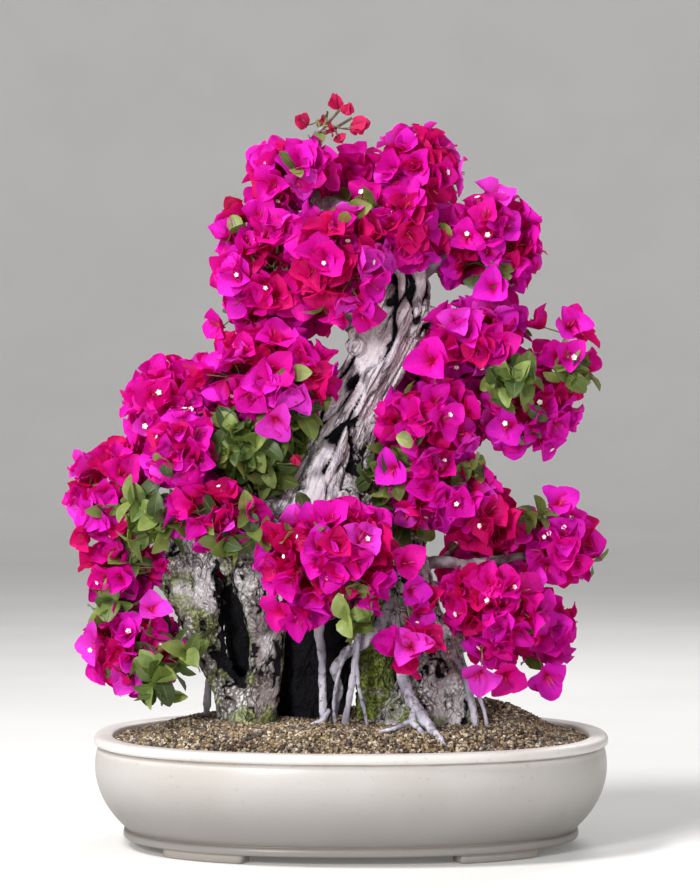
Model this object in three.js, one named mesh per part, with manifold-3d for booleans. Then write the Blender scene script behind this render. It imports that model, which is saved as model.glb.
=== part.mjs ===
// A flowering bougainvillea bonsai: an old hollow-footed trunk on three legs and thin bared roots,
// crowned with masses of papery bracts, in a shallow oval pot on four feet.
// Millimetres, +Z up, standing on z = 0. Lengths are measured from the middle of the pot's underside,
// and the plant's front faces -Y. Solids that touch in the real plant are kept GAP apart.

import * as THREE from "three";
import { mergeVertices } from "three/addons/utils/BufferGeometryUtils.js";
import Module from "manifold-3d";

const GAP = 0.3; // clearance between neighbouring solids
const SLIVER = 0.15; // detail finer than this is dropped

const pot = {
  halfLength: 300,
  halfWidth: 225,
  roundness: 2.3, // exponent of the oval plan: 2 is an ellipse, more is squarer
  height: 130,
  lipWidth: 21,
  lipThickness: 12,
  bellyHeight: 92,
  wall: 13,
  floor: 22, // height of the inside floor
  baseInset: 36, // how far the foot of the wall lies inside the lip
  bandHeight: 11,
  footHeight: 10,
  footWidth: 22,
  footStart: 126, // each foot runs between these distances from the middle
  footEnd: 217,
  segments: 36,
};

const soil = {
  edge: 123, // height of the gravel where it meets the wall
  level: 144, // height of the level ground that the legs stand on
  rings: [0.95, 0.82, 0.66, 0.46, 0.26], // outlines of its surface, as shares of the pot's inside
  flat: 0.66, // the slope from the wall ends at this share
  mounds: { rise: 2.4, xStep: 19, yStep: 16 }, // low swells of the loose gravel
  bank: { at: [165, 75], spread: 55, rise: 16 }, // the gravel heaped behind the right leg
};

// Each wooden limb follows a curve through its points and tapers between its girths, which are radii.
const trunkLimbs = {
  stem: {
    path: [
      [-42, 5, 325], [-40, 5, 380], [-34, 5, 430], [-17, 5, 482], [15, 5, 540], [44, 3, 592],
      [58, 0, 635], [60, 0, 672], [46, 4, 706], [8, 8, 734], [-38, 6, 750], [-60, 2, 780], [-54, 2, 814],
    ],
    girths: [34, 54, 51, 41, 30, 31, 31, 26, 19, 15, 12, 9, 6],
    sides: 15,
    steps: 20,
    ridges: 5,
  },
  leftLeg: {
    path: [
      [-132, -8, 125], [-144, -6, 185], [-167, 0, 235], [-181, 2, 290], [-188, 4, 345],
      [-150, 6, 392], [-95, 6, 412], [-40, 5, 420],
    ],
    girths: [25, 18, 22, 33, 28, 24, 28, 32],
    sides: 9,
    steps: 12,
    ridges: 3,
  },
  innerLeg: {
    path: [
      [-116, -14, 125], [-104, -8, 190], [-101, -4, 240], [-112, -2, 290], [-106, 0, 340],
      [-75, 4, 385], [-40, 5, 410],
    ],
    girths: [28, 21, 20, 25, 28, 32, 38],
    sides: 9,
    steps: 9,
    ridges: 3,
  },
  rightLeg: {
    path: [
      [88, -22, 125], [94, -16, 180], [94, -8, 225], [74, 0, 270], [62, 5, 325], [52, 8, 375],
      [10, 5, 430],
    ],
    girths: [52, 40, 31, 28, 28, 33, 40],
    sides: 12,
    steps: 9,
    ridges: 4,
  },
  rightStub: {
    path: [[98, -12, 195], [114, -8, 238], [120, -6, 266]],
    girths: [26, 19, 12],
    sides: 7,
    steps: 3,
  },
  mossLeg: {
    path: [[32, 12, 125], [28, 8, 190], [32, 6, 240], [54, 4, 292]],
    girths: [25, 21, 17, 18],
    sides: 7,
    steps: 5,
  },
  backLeg: {
    path: [[-50, 60, 125], [-46, 50, 210], [-38, 34, 290], [-28, 14, 370]],
    girths: [44, 38, 38, 42],
    sides: 8,
    steps: 6,
    ridges: 3,
  },
  backLeftLeg: {
    path: [[-124, 54, 125], [-122, 46, 210], [-122, 32, 290], [-90, 12, 378]],
    girths: [29, 26, 28, 34],
    sides: 8,
    steps: 6,
    ridges: 3,
  },
  backRightLeg: {
    path: [[42, 54, 125], [38, 46, 210], [28, 32, 290], [-4, 14, 370]],
    girths: [34, 29, 30, 36],
    sides: 8,
    steps: 6,
    ridges: 3,
  },
};

// Burrs and swellings on the trunk.
const trunkKnots = [
  { centre: [77, -8, 614], half: [19, 20, 23] },
  { centre: [9, -10, 591], half: [16, 13, 18] },
  { centre: [-96, -22, 388], half: [22, 16, 18] },
  { centre: [-52, -38, 398], half: [17, 15, 20] },
  { centre: [-8, -40, 404], half: [20, 16, 16] },
  { centre: [-196, -14, 300], half: [20, 20, 22] },
  { centre: [-170, -20, 266], half: [18, 17, 20] },
  { centre: [-112, -22, 264], half: [17, 14, 22] },
  { centre: [66, -26, 268], half: [22, 18, 17] },
  { centre: [112, -34, 190], half: [20, 18, 24] },
  { centre: [60, -36, 160], half: [20, 18, 16] },
];

// The ridges on a limb wind lengthwise: their depth as a share of the girth, and how they twist and sway.
const ridgeForm = { depth: 0.13, twist: 3, sway: 0.9, swayBeat: 11 };

const bareRoots = {
  root_front_left: {
    path: [[-30, -22, 345], [-36, -44, 290], [-36, -48, 230], [-31, -46, 132]],
    girths: [7, 6, 5.5, 5.5],
  },
  root_front_middle: {
    path: [[4, -18, 345], [9, -44, 280], [6, -50, 226], [-6, -54, 132]],
    girths: [6, 5, 4.5, 4.5],
  },
  root_hook: {
    path: [[54, -4, 290], [24, -34, 246], [2, -36, 228], [-18, -38, 210], [-12, -38, 186], [-22, -36, 132]],
    girths: [8, 7, 6, 6, 4.5, 4],
  },
  root_thin: { path: [[6, -50, 222], [12, -52, 185], [20, -52, 132]], girths: [3, 2.6, 2.4] },
  root_right_front: {
    path: [[70, -18, 244], [60, -62, 206], [70, -84, 176], [84, -112, 156], [106, -156, 124]],
    girths: [9, 8, 7.5, 7, 5],
  },
  root_right_fork: { path: [[74, -92, 170], [68, -116, 152], [88, -154, 124]], girths: [5, 4, 3.5] },
  root_right_side: { path: [[112, -16, 232], [138, -48, 190], [146, -68, 132]], girths: [6, 5, 4.5] },
  root_left_back: { path: [[-160, 8, 215], [-168, 28, 185], [-172, 32, 132]], girths: [6, 5, 5] },
};

// Each mass of bracts fills an ellipsoid round its centre, at the end of a curve that leaves the wood
// inside the limb at "from". A girth is the radius of a bough of its own, and without one the mass's
// stem starts at the wood. Lift bends the curve up, and leafy is the share of green leaves.
const masses = [
  { name: "apex", centre: [-21, 0, 850], half: [44, 31, 32], from: [-55, 2, 806], airy: true },
  { name: "top_left", centre: [-67, -30, 782], half: [59, 49, 48], from: [-54, 2, 760] },
  { name: "top_middle", centre: [-2, 40, 764], half: [60, 50, 46], from: [10, 8, 728] },
  { name: "top_right", centre: [76, -5, 790], half: [55, 52, 52], from: [56, 0, 685], girth: 8 },
  { name: "upper_left", centre: [-100, -28, 676], half: [65, 60, 86], from: [30, 0, 598], girth: 9 },
  { name: "upper_middle", centre: [-18, -82, 680], half: [66, 50, 70], from: [42, 0, 620], leafy: 0.1 },
  { name: "inner_crown", centre: [60, -44, 722], half: [54, 42, 54], from: [60, 0, 665], leafy: 0.1 },
  { name: "right_crown", centre: [160, 0, 702], half: [62, 60, 72], from: [60, 0, 652], girth: 9 },
  { name: "middle_left", centre: [-96, -60, 550], half: [86, 54, 62], from: [-6, 4, 505], girth: 8 },
  {
    name: "left_shoulder", centre: [-210, 0, 512], half: [57, 60, 58],
    from: [-186, 4, 345], girth: 11, lift: 0,
  },
  {
    name: "far_left", centre: [-282, 10, 412], half: [52, 60, 72],
    from: [-186, 4, 338], girth: 8, leafy: 0.2,
  },
  { name: "left_front", centre: [-194, -72, 466], half: [46, 43, 44], from: [-172, 4, 372], lift: 0 },
  {
    name: "left_inner", centre: [-106, -38, 466], half: [50, 42, 52],
    from: [-100, 6, 412], leafy: 0.9, lift: 0,
  },
  { name: "left_hang", centre: [-153, -84, 392], half: [64, 40, 40], from: [-140, 4, 396], leafy: 0.3 },
  { name: "left_under", centre: [-266, 0, 322], half: [50, 46, 40], from: [-184, 2, 312], leafy: 0.2 },
  { name: "low_left", centre: [-256, -10, 228], half: [68, 54, 55], from: [-174, 0, 256], leafy: 0.3 },
  {
    name: "middle_front", centre: [-24, -110, 342], half: [86, 56, 78],
    from: [-34, -4, 356], lift: 0,
  },
  {
    name: "right_upper", centre: [146, -30, 592], half: [70, 52, 46],
    from: [54, 0, 622], girth: 10, lift: 24,
  },
  {
    name: "right_tip", centre: [246, 0, 562], half: [44, 44, 75],
    from: [30, 6, 585], girth: 7, lift: -14, airy: true,
  },
  { name: "right_middle", centre: [94, -62, 496], half: [66, 48, 50], from: [4, 4, 492], leafy: 0.1 },
  {
    name: "right_outer", centre: [200, -8, 510], half: [68, 56, 52],
    from: [0, 8, 478], girth: 9, leafy: 0.2,
  },
  { name: "right_lower", centre: [100, -50, 417], half: [66, 50, 50], from: [0, 4, 440], leafy: 0.2 },
  {
    name: "low_right_inner", centre: [160, -30, 384], half: [50, 46, 30],
    from: [52, 8, 370], leafy: 0.1,
  },
  {
    name: "low_right_outer", centre: [244, 0, 346], half: [48, 54, 54],
    from: [60, 5, 330], girth: 8, lift: -14,
  },
  { name: "low_right", centre: [168, -58, 280], half: [64, 55, 64], from: [122, -8, 252] },
  {
    name: "low_right_tip", centre: [214, -6, 256], half: [56, 53, 48],
    from: [104, 2, 212], girth: 6, lift: 12,
  },
  { name: "low_flower", centre: [70, -112, 241], half: [36, 26, 32], from: [74, -8, 262], airy: true },
  { name: "back_upper", centre: [-66, 84, 650], half: [88, 57, 77], from: [24, 6, 590] },
  { name: "back_crown", centre: [110, 96, 690], half: [90, 53, 73], from: [60, 4, 660] },
  { name: "back_right", centre: [122, 92, 538], half: [88, 57, 81], from: [8, 8, 545] },
  { name: "back_left", centre: [-158, 86, 490], half: [88, 57, 77], from: [-20, 8, 460] },
  { name: "back_middle", centre: [-10, 102, 470], half: [84, 53, 86], from: [-30, 8, 430] },
  { name: "back_low_left", centre: [-160, 88, 338], half: [77, 55, 68], from: [-150, 8, 388] },
  { name: "back_low_right", centre: [150, 94, 350], half: [84, 57, 79], from: [64, 4, 300], girth: 6 },
];

const growth = {
  core: 0.76, // size of a mass's core, as a share of the mass
  airyCore: 0.4,
  rootDepth: 0.75, // where the flowers are rooted, as a share of the core
  reach: 0.95, // how far the bracts' tips reach, as a share of the mass
  lift: 12, // how far a bough arches up, unless its mass says otherwise
  boughEnd: 0.92, // a bough ends at this share of the mass it enters
  boughTaper: 0.6,
  stemGirth: 5,
  patch: 5750, // area of a mass's surface that one flower covers, in square millimetres
  sprayLength: 62, // the longest bract
  bracts: 3, // in one flower
  bractSpread: 50, // angles in degrees between a flower's axis and its bracts and notches
  notchSpread: 58,
  notch: 0.66, // reach of the notch between bracts and of the cup, as shares of the bract's length
  cupDepth: 0.22,
  leafSpread: 55,
  leafWidth: 0.55, // width and thickness of a leaf, as shares of its length
  leafThickness: 0.04,
  seed: 7,
};

const finishes = {
  stoneware: new THREE.MeshStandardMaterial({ color: 0xd8cdc4, roughness: 0.55, metalness: 0 }),
  gravel: new THREE.MeshStandardMaterial({ color: 0x8a7558, roughness: 0.95, metalness: 0 }),
  bark: new THREE.MeshStandardMaterial({ color: 0xa79ea2, roughness: 0.9, metalness: 0 }),
  root: new THREE.MeshStandardMaterial({ color: 0xb7b2c0, roughness: 0.85, metalness: 0 }),
  bract: new THREE.MeshStandardMaterial({ color: 0xd4087f, roughness: 0.7, metalness: 0 }),
  leaf: new THREE.MeshStandardMaterial({ color: 0x3f7a33, roughness: 0.5, metalness: 0 }),
};

const wasm = await Module();
wasm.setup();

// --- solids and meshes ---

function solidOf(geometry) {
  const bare = geometry.index ? geometry.toNonIndexed() : geometry;
  const position = new THREE.BufferGeometry().setAttribute("position", bare.getAttribute("position"));
  const merged = mergeVertices(position, 1e-3);
  const triVerts = new Uint32Array(merged.index.array);
  const vertProperties = merged.attributes.position.array;
  return new wasm.Manifold(new wasm.Mesh({ numProp: 3, vertProperties, triVerts }));
}

function meshOf(name, solid, material) {
  const made = solid.getMesh();
  const geometry = new THREE.BufferGeometry()
    .setAttribute("position", new THREE.BufferAttribute(made.vertProperties, 3))
    .setIndex(new THREE.BufferAttribute(made.triVerts, 1));
  geometry.computeVertexNormals();
  const mesh = new THREE.Mesh(geometry, material);
  mesh.name = name;
  return mesh;
}

// Cuts and unions can leave loose scraps and slivers: keep the main body, without its slivers.
const largest = (solid) => solid.decompose().sort((a, b) => b.volume() - a.volume())[0].simplify(SLIVER);

// The skin over a stack of rings with the same number of points, closed by a fan at each end.
function skin(rings) {
  const sides = rings[0].length;
  const points = rings.flat();
  const middle = (ring) => ring.reduce((sum, p) => sum.add(p), new THREE.Vector3()).divideScalar(sides);
  const first = points.push(middle(rings[0])) - 1;
  const last = points.push(middle(rings.at(-1))) - 1;
  const top = (rings.length - 1) * sides;
  const faces = [];
  for (let side = 0; side < sides; side += 1) {
    const next = (side + 1) % sides;
    faces.push(first, next, side, last, top + side, top + next);
    for (let low = 0; low < top; low += sides) {
      const high = low + sides;
      faces.push(low + side, low + next, high + next, low + side, high + next, high + side);
    }
  }
  return new THREE.BufferGeometry().setFromPoints(points).setIndex(faces);
}

// --- pot and soil ---

// A point on the oval that lies inset from the pot's outermost outline.
function ovalPoint(angle, inset, z, share = 1) {
  const power = (value) => Math.sign(value) * Math.abs(value) ** (2 / pot.roundness);
  return new THREE.Vector3(
    (pot.halfLength - inset) * share * power(Math.cos(angle)),
    (pot.halfWidth - inset) * share * power(Math.sin(angle)),
    z,
  );
}

function ovalRing(inset, z, share) {
  const turn = (2 * Math.PI) / pot.segments;
  return Array.from({ length: pot.segments }, (_, i) => ovalPoint(i * turn, inset, z, share));
}

// The stoneware's section from the outer foot of the wall, up over the lip and down the inside:
// pairs of the inset from the outermost outline and the height.
function potSection() {
  const { height, lipWidth, lipThickness, bellyHeight, wall, floor, baseInset, footHeight } = pot;
  const bandTop = footHeight + pot.bandHeight;
  const lipBottom = height - lipThickness;
  const belly = new THREE.QuadraticBezierCurve(
    new THREE.Vector2(baseInset, bandTop),
    new THREE.Vector2(2, bandTop + 31),
    new THREE.Vector2(0, bellyHeight),
  );
  const shoulder = new THREE.QuadraticBezierCurve(
    new THREE.Vector2(0, bellyHeight),
    new THREE.Vector2(0.5, lipBottom - 8),
    new THREE.Vector2(4, lipBottom - 1),
  );
  return [
    [baseInset + 2, footHeight],
    [baseInset - 2.5, footHeight + 3],
    [baseInset - 2.5, bandTop - 3],
    ...belly.getPoints(4).map((p) => [p.x, p.y]),
    ...shoulder.getPoints(2).slice(1).map((p) => [p.x, p.y]),
    [0.5, lipBottom + 2],
    [-1, lipBottom + 6],
    [2, height - 1],
    [6, height],
    [lipWidth - 1.5, height],
    [lipWidth, height - 2],
    [lipWidth, height - 20],
    [wall + 12, floor + 30],
    [baseInset + wall, floor],
  ];
}

function potFoot(xSide, ySide) {
  const angleAt = (x) => Math.acos((x / (pot.halfLength - pot.baseInset)) ** (pot.roundness / 2));
  const [start, end] = [angleAt(pot.footEnd), angleAt(pot.footStart)];
  const steps = 6;
  const along = Array.from({ length: steps + 1 }, (_, i) => start + ((end - start) * i) / steps);
  const outer = along.map((angle) => ovalPoint(angle, pot.baseInset + 3, 0));
  const inner = along.map((angle) => ovalPoint(angle, pot.baseInset + pot.footWidth, 0)).reverse();
  const corners = [...outer, ...inner].map((p) => new THREE.Vector2(xSide * p.x, ySide * p.y));
  const depth = pot.footHeight + 2;
  return new THREE.ExtrudeGeometry(new THREE.Shape(corners), { depth, bevelEnabled: false });
}

function makePot() {
  let solid = solidOf(skin(potSection().map(([inset, z]) => ovalRing(inset, z))));
  for (const xSide of [-1, 1]) {
    for (const ySide of [-1, 1]) {
      solid = solid.add(solidOf(potFoot(xSide, ySide)));
    }
  }
  return solid;
}

function bankRise(x, y) {
  const { at, spread, rise } = soil.bank;
  return rise * Math.exp(-((x - at[0]) ** 2 + (y - at[1]) ** 2) / spread ** 2);
}

function moundRise(x, y) {
  const { rise, xStep, yStep } = soil.mounds;
  return rise * Math.sin(x / xStep) * Math.cos(y / yStep);
}

// The gravel fills the inside of the pot and slopes up from its wall to level ground.
function makeSoil() {
  const wallRings = potSection().slice(-2).reverse().map(([inset, z]) => ovalRing(inset + 1, z + GAP));
  const rimInset = pot.lipWidth + 1;
  const slope = soil.rings.map((share) => {
    const climb = THREE.MathUtils.smoothstep(1 - share, 0, 1 - soil.flat);
    const ring = ovalRing(rimInset, THREE.MathUtils.lerp(soil.edge, soil.level, climb), share);
    ring.forEach((p) => { p.z += bankRise(p.x, p.y) + climb * moundRise(p.x, p.y); });
    return ring;
  });
  const upperWall = ovalRing(rimInset, pot.height - 20);
  return solidOf(skin([...wallRings, upperWall, ovalRing(rimInset, soil.edge), ...slope]));
}

// --- wood ---

// A tapering limb along a smooth curve through its path, with lengthwise ridges if it has any.
function limb({ path, girths, sides = 6, steps = 8, ridges = 0, grow = 0 }) {
  const curve = new THREE.CatmullRomCurve3(path.map((p) => new THREE.Vector3(...p)));
  const girthAt = (t) => {
    const place = t * (girths.length - 1);
    const low = Math.min(Math.floor(place), girths.length - 2);
    return THREE.MathUtils.lerp(girths[low], girths[low + 1], place - low) + grow;
  };
  const { depth, twist, sway, swayBeat } = ridgeForm;
  let across = new THREE.Vector3(1, 0, 0);
  const rings = [];
  for (let step = 0; step <= steps; step += 1) {
    const t = step / steps;
    const wind = twist * t + sway * Math.sin(swayBeat * t);
    const centre = curve.getPoint(t);
    const along = curve.getTangent(t);
    across = across.clone().projectOnPlane(along).normalize();
    const over = along.clone().cross(across);
    rings.push(Array.from({ length: sides }, (_, i) => {
      const angle = (2 * Math.PI * i) / sides;
      const reach = girthAt(t) * (1 + (ridges ? depth * Math.cos(ridges * angle + wind) : 0));
      const outward = across.clone().multiplyScalar(Math.cos(angle)).addScaledVector(over, Math.sin(angle));
      return centre.clone().addScaledVector(outward, reach);
    }));
  }
  return skin(rings);
}

function knot({ centre, half }, grow) {
  return solidOf(new THREE.IcosahedronGeometry(1).scale(...half.map((h) => h + grow)).translate(...centre));
}

function trunkSolid(grow) {
  const grown = Object.values(trunkLimbs).map((spec) => solidOf(limb({ ...spec, grow })));
  return wasm.Manifold.union([...grown, ...trunkKnots.map((spec) => knot(spec, grow))]);
}

// --- masses of bracts and leaves ---

// A repeatable stream of numbers from 0 to 1.
function seededRandom(seed) {
  let state = seed;
  return () => {
    state = (state * 1664525 + 1013904223) % 4294967296;
    return state / 4294967296;
  };
}

// A thin kite-shaped blade of eight faces, from its root to its tip, hollow on the side of "inner".
function blade(root, along, inner, length, width) {
  const side = along.clone().cross(inner).normalize();
  const face = side.clone().cross(along);
  const widest = root.clone().addScaledVector(along, length * 0.5);
  const hollow = length * 0.1;
  const thick = length * growth.leafThickness;
  const corners = [
    root,
    widest.clone().addScaledVector(side, width / 2),
    root.clone().addScaledVector(along, length),
    widest.clone().addScaledVector(side, -width / 2),
  ];
  const top = widest.clone().addScaledVector(face, -hollow + thick);
  const bottom = widest.clone().addScaledVector(face, -hollow);
  const faces = [];
  for (let i = 0; i < 4; i += 1) {
    const next = (i + 1) % 4;
    faces.push(i, next, 4, next, i, 5);
  }
  return new THREE.BufferGeometry().setFromPoints([...corners, top, bottom]).setIndex(faces);
}

// The curve from the wood to the middle of a mass, and the share of it at which a bough enters.
function splitCurve(spec) {
  const from = new THREE.Vector3(...spec.from);
  const centre = new THREE.Vector3(...spec.centre);
  const bend = from.clone().lerp(centre, 0.5);
  bend.z += spec.lift ?? growth.lift;
  const curve = new THREE.QuadraticBezierCurve3(from, bend, centre);
  const outside = (t) => {
    const p = curve.getPoint(t).sub(centre);
    return Math.hypot(p.x / spec.half[0], p.y / spec.half[1], p.z / spec.half[2]) > growth.boughEnd;
  };
  let entry = 0;
  while (entry < 1 && outside(entry)) entry += 0.01;
  return { curve, entry };
}

function alongCurve(curve, start, end) {
  const shares = [0, 0.25, 0.5, 0.75, 1];
  return shares.map((share) => curve.getPoint(THREE.MathUtils.lerp(start, end, share)).toArray());
}

// The planes that part this mass from each other one, where the two ellipsoids meet or would meet.
function wallsOf(spec) {
  const centre = new THREE.Vector3(...spec.centre);
  return masses.filter((other) => other !== spec).map((other) => {
    const normal = new THREE.Vector3(...other.centre).sub(centre);
    const distance = normal.length();
    normal.divideScalar(distance);
    const reach = (half) => Math.hypot(half[0] * normal.x, half[1] * normal.y, half[2] * normal.z);
    const share = reach(spec.half) / (reach(spec.half) + reach(other.half));
    const point = centre.clone().addScaledVector(normal, distance * share - GAP / 2);
    return new THREE.Plane().setFromNormalAndCoplanarPoint(normal, point);
  });
}

function insideWalls(solid, walls) {
  const { min, max } = solid.boundingBox();
  const box = new THREE.Box3(new THREE.Vector3(...min), new THREE.Vector3(...max));
  return walls.every((wall) => {
    const crosses = box.intersectsPlane(wall);
    if (!crosses) return wall.distanceToPoint(box.min) < 0;
    return solid.trimByPlane(wall.normal.toArray(), -wall.constant).isEmpty();
  });
}

// The directions of a mass's sprays: a golden spiral over the sphere, loosened a little.
function sprayDirections(count, random) {
  const golden = Math.PI * (3 - Math.sqrt(5));
  const turn = random() * 2 * Math.PI;
  return Array.from({ length: count }, (_, i) => {
    const up = 1 - (2 * i + 1) / count;
    const round = Math.sqrt(1 - up * up);
    const angle = turn + i * golden;
    const loose = new THREE.Vector3(random() - 0.5, random() - 0.5, random() - 0.5);
    return new THREE.Vector3(round * Math.cos(angle), round * Math.sin(angle), up)
      .addScaledVector(loose, 0.3)
      .normalize();
  });
}

function surfaceArea([a, b, c]) {
  const power = 1.6;
  const mean = ((a * b) ** power + (a * c) ** power + (b * c) ** power) / 3;
  return 4 * Math.PI * mean ** (1 / power);
}

// The direction that leans away from an axis by so many degrees, turned about it by an angle.
function leaning(axis, spread, turn) {
  const across = new THREE.Vector3(axis.y, axis.z, axis.x).projectOnPlane(axis).normalize();
  const hinge = across.cross(axis).applyAxisAngle(axis, turn);
  return axis.clone().applyAxisAngle(hinge, THREE.MathUtils.degToRad(spread));
}

// A pair of narrow leaves, one to each side of the axis.
function leafPair(root, axis, length, turn) {
  return [turn, turn + Math.PI].map((angle) => {
    const along = leaning(axis, growth.leafSpread, angle);
    return solidOf(blade(root, along, axis, length, length * growth.leafWidth));
  });
}

// A flower: three pointed bracts joined at their bases round an open cup.
function flower(root, axis, length, turn) {
  const rim = Array.from({ length: 2 * growth.bracts }, (_, i) => {
    const angle = turn + (Math.PI * i) / growth.bracts;
    const [spread, share] = i % 2 ? [growth.notchSpread, growth.notch] : [growth.bractSpread, 1];
    return root.clone().addScaledVector(leaning(axis, spread, angle), length * share);
  });
  const faces = [];
  for (let i = 0; i < rim.length; i += 1) {
    const next = (i + 1) % rim.length;
    faces.push(i, next, rim.length, next, i, rim.length + 1);
  }
  const cup = root.clone().addScaledVector(axis, length * growth.cupDepth);
  return [solidOf(new THREE.BufferGeometry().setFromPoints([...rim, cup, root]).setIndex(faces))];
}

// A spray is as large as fits between the walls and clear of the wood, or is left out.
function fittingSpray(makeSpray, root, axis, length, turn, walls, kept) {
  for (const share of [1, 0.8, 0.6]) {
    const solids = makeSpray(root, axis, length * share, turn);
    const fits = (solid) => insideWalls(solid, walls) && solid.intersect(kept).isEmpty();
    if (solids.every(fits)) return solids;
  }
  return [];
}

// The stem that a mass grows from starts a gap beyond its bough, or inside the limb that bears it.
function stemLimb(spec, grow) {
  const { curve, entry } = splitCurve(spec);
  const start = spec.girth ? entry + GAP / curve.getLength() : 0;
  const girth = spec.girth ? spec.girth * growth.boughTaper * 0.9 : growth.stemGirth;
  const path = alongCurve(curve, start, 0.96);
  return solidOf(limb({ path, girths: [girth, girth * 0.6], sides: 5, steps: 3, grow }));
}

function trimmedCore(spec, share, walls, random) {
  const ball = new THREE.IcosahedronGeometry(1).rotateX(random() * 3).rotateZ(random() * 3);
  ball.scale(...spec.half.map((h) => h * share));
  return walls.reduce(
    (solid, wall) => solid.trimByPlane(wall.normal.clone().negate().toArray(), wall.constant),
    solidOf(ball.translate(...spec.centre)),
  );
}

// A mass keeps clear of the wood and of every other mass's stem.
function makeMass(spec, index, wood, stems) {
  const random = seededRandom(growth.seed + index);
  const centre = new THREE.Vector3(...spec.centre);
  const half = new THREE.Vector3(...spec.half);
  const walls = wallsOf(spec);
  let kept = wasm.Manifold.union([wood, ...stems.filter((_, other) => other !== index)]);
  const stem = stemLimb(spec, 0).subtract(wasm.Manifold.union([wood, ...stems.slice(0, index)]));
  const coreShare = spec.airy ? growth.airyCore : growth.core;
  const rootShare = coreShare * growth.rootDepth;
  const core = trimmedCore(spec, coreShare, walls, random).subtract(kept);
  const sprays = Math.max(4, Math.round(surfaceArea(spec.half) / growth.patch));
  const parts = [core, stem];
  for (const direction of sprayDirections(sprays, random)) {
    const surface = direction.clone().multiply(half);
    const root = centre.clone().addScaledVector(surface, rootShare);
    const isLeaf = random() < (spec.leafy ?? 0);
    const spread = THREE.MathUtils.degToRad(isLeaf ? growth.leafSpread : growth.bractSpread);
    const depth = surface.length() * (growth.reach - rootShare);
    const length = Math.min(growth.sprayLength, depth / Math.cos(spread));
    const turn = random() * 2 * Math.PI;
    const makeSpray = isLeaf ? leafPair : flower;
    const spray = fittingSpray(makeSpray, root, direction, length, turn, walls, kept);
    parts.push(...spray);
    kept = kept.add(wasm.Manifold.union(spray).subtract(core));
  }
  return largest(wasm.Manifold.union(parts));
}

// --- the plant ---

const plant = new THREE.Group();
const soilSolid = makeSoil();
const liftedSoil = soilSolid.translate([0, 0, GAP]);
plant.add(meshOf("pot", makePot(), finishes.stoneware));
plant.add(meshOf("soil", soilSolid, finishes.gravel));
plant.add(meshOf("trunk", largest(trunkSolid(0).subtract(liftedSoil)), finishes.bark));

// Each later limb is cut clear of the ones before it, so that it sits GAP off whatever it grows from.
let limbs = trunkSolid(GAP);
function addLimb(name, spec, material) {
  plant.add(meshOf(name, largest(solidOf(limb(spec)).subtract(limbs).subtract(liftedSoil)), material));
  limbs = limbs.add(solidOf(limb({ ...spec, grow: GAP })));
}

for (const [name, spec] of Object.entries(bareRoots)) {
  addLimb(name, { ...spec, sides: 5, steps: 2 * spec.path.length - 2 }, finishes.root);
}
for (const spec of masses.filter((mass) => mass.girth)) {
  const { curve, entry } = splitCurve(spec);
  const girths = [spec.girth, spec.girth * growth.boughTaper];
  const bough = { path: alongCurve(curve, 0, entry), girths, sides: 7, steps: 5 };
  addLimb(`${spec.name}_bough`, bough, finishes.bark);
}
const stems = masses.map((spec) => stemLimb(spec, GAP));
masses.forEach((spec, index) => {
  const [part, finish] = spec.leafy > 0.5 ? ["leaves", finishes.leaf] : ["bracts", finishes.bract];
  plant.add(meshOf(`${spec.name}_${part}`, makeMass(spec, index, limbs, stems), finish));
});

// The whole plant is then centred over the origin, so the pot ends up a little to one side of it.
const middle = new THREE.Box3().setFromObject(plant).getCenter(new THREE.Vector3());
plant.position.set(-middle.x, -middle.y, 0);

export default plant;
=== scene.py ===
# Bougainvillea bonsai: furrowed bark, bared roots, loose gravel, a cream stoneware pot,
# and papery bracts, leaves and blossoms grown out from the boughs.
# Lengths in the tables are millimetres from the middle of the pot's underside.
import bpy
import math
import numpy as np
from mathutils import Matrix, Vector
from mathutils.kdtree import KDTree


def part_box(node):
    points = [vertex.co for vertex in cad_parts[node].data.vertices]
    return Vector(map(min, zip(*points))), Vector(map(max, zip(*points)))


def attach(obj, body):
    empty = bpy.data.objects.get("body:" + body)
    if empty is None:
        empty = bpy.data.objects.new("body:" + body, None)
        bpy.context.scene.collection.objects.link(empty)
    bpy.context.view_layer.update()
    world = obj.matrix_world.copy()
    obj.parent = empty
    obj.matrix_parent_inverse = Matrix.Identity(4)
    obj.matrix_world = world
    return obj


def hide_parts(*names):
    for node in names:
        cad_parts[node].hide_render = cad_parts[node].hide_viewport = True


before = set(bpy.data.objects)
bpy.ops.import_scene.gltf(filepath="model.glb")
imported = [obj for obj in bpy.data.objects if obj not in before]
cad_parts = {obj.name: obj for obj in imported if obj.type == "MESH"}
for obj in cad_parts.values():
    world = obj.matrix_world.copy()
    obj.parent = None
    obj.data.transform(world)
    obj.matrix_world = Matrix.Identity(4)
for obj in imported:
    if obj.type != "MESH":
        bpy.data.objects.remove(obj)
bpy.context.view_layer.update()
potLow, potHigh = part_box("pot")
potMiddle = np.array([(potLow.x + potHigh.x) / 2, (potLow.y + potHigh.y) / 2, 0.0])
nodeNames = sorted(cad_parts)
print("frame loaded:", len(nodeNames), "solids")


# The camera stands four metres off, a little above the middle of the crown.
viewer = {"distance": 4000, "height": 595, "aside": -1.2, "lens": 138.4, "down": 1.81}

lens = bpy.data.cameras.new("viewer")
lens.lens = viewer["lens"]
lens.sensor_width = 36
lens.clip_end = 50
camera = bpy.data.objects.new("viewer", lens)
camera.location = potMiddle + np.array([viewer["aside"], -viewer["distance"], viewer["height"]]) / 1000
camera.rotation_euler = (math.radians(90 - viewer["down"]), 0, 0)
bpy.context.scene.collection.objects.link(camera)
bpy.context.scene.camera = camera


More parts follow.
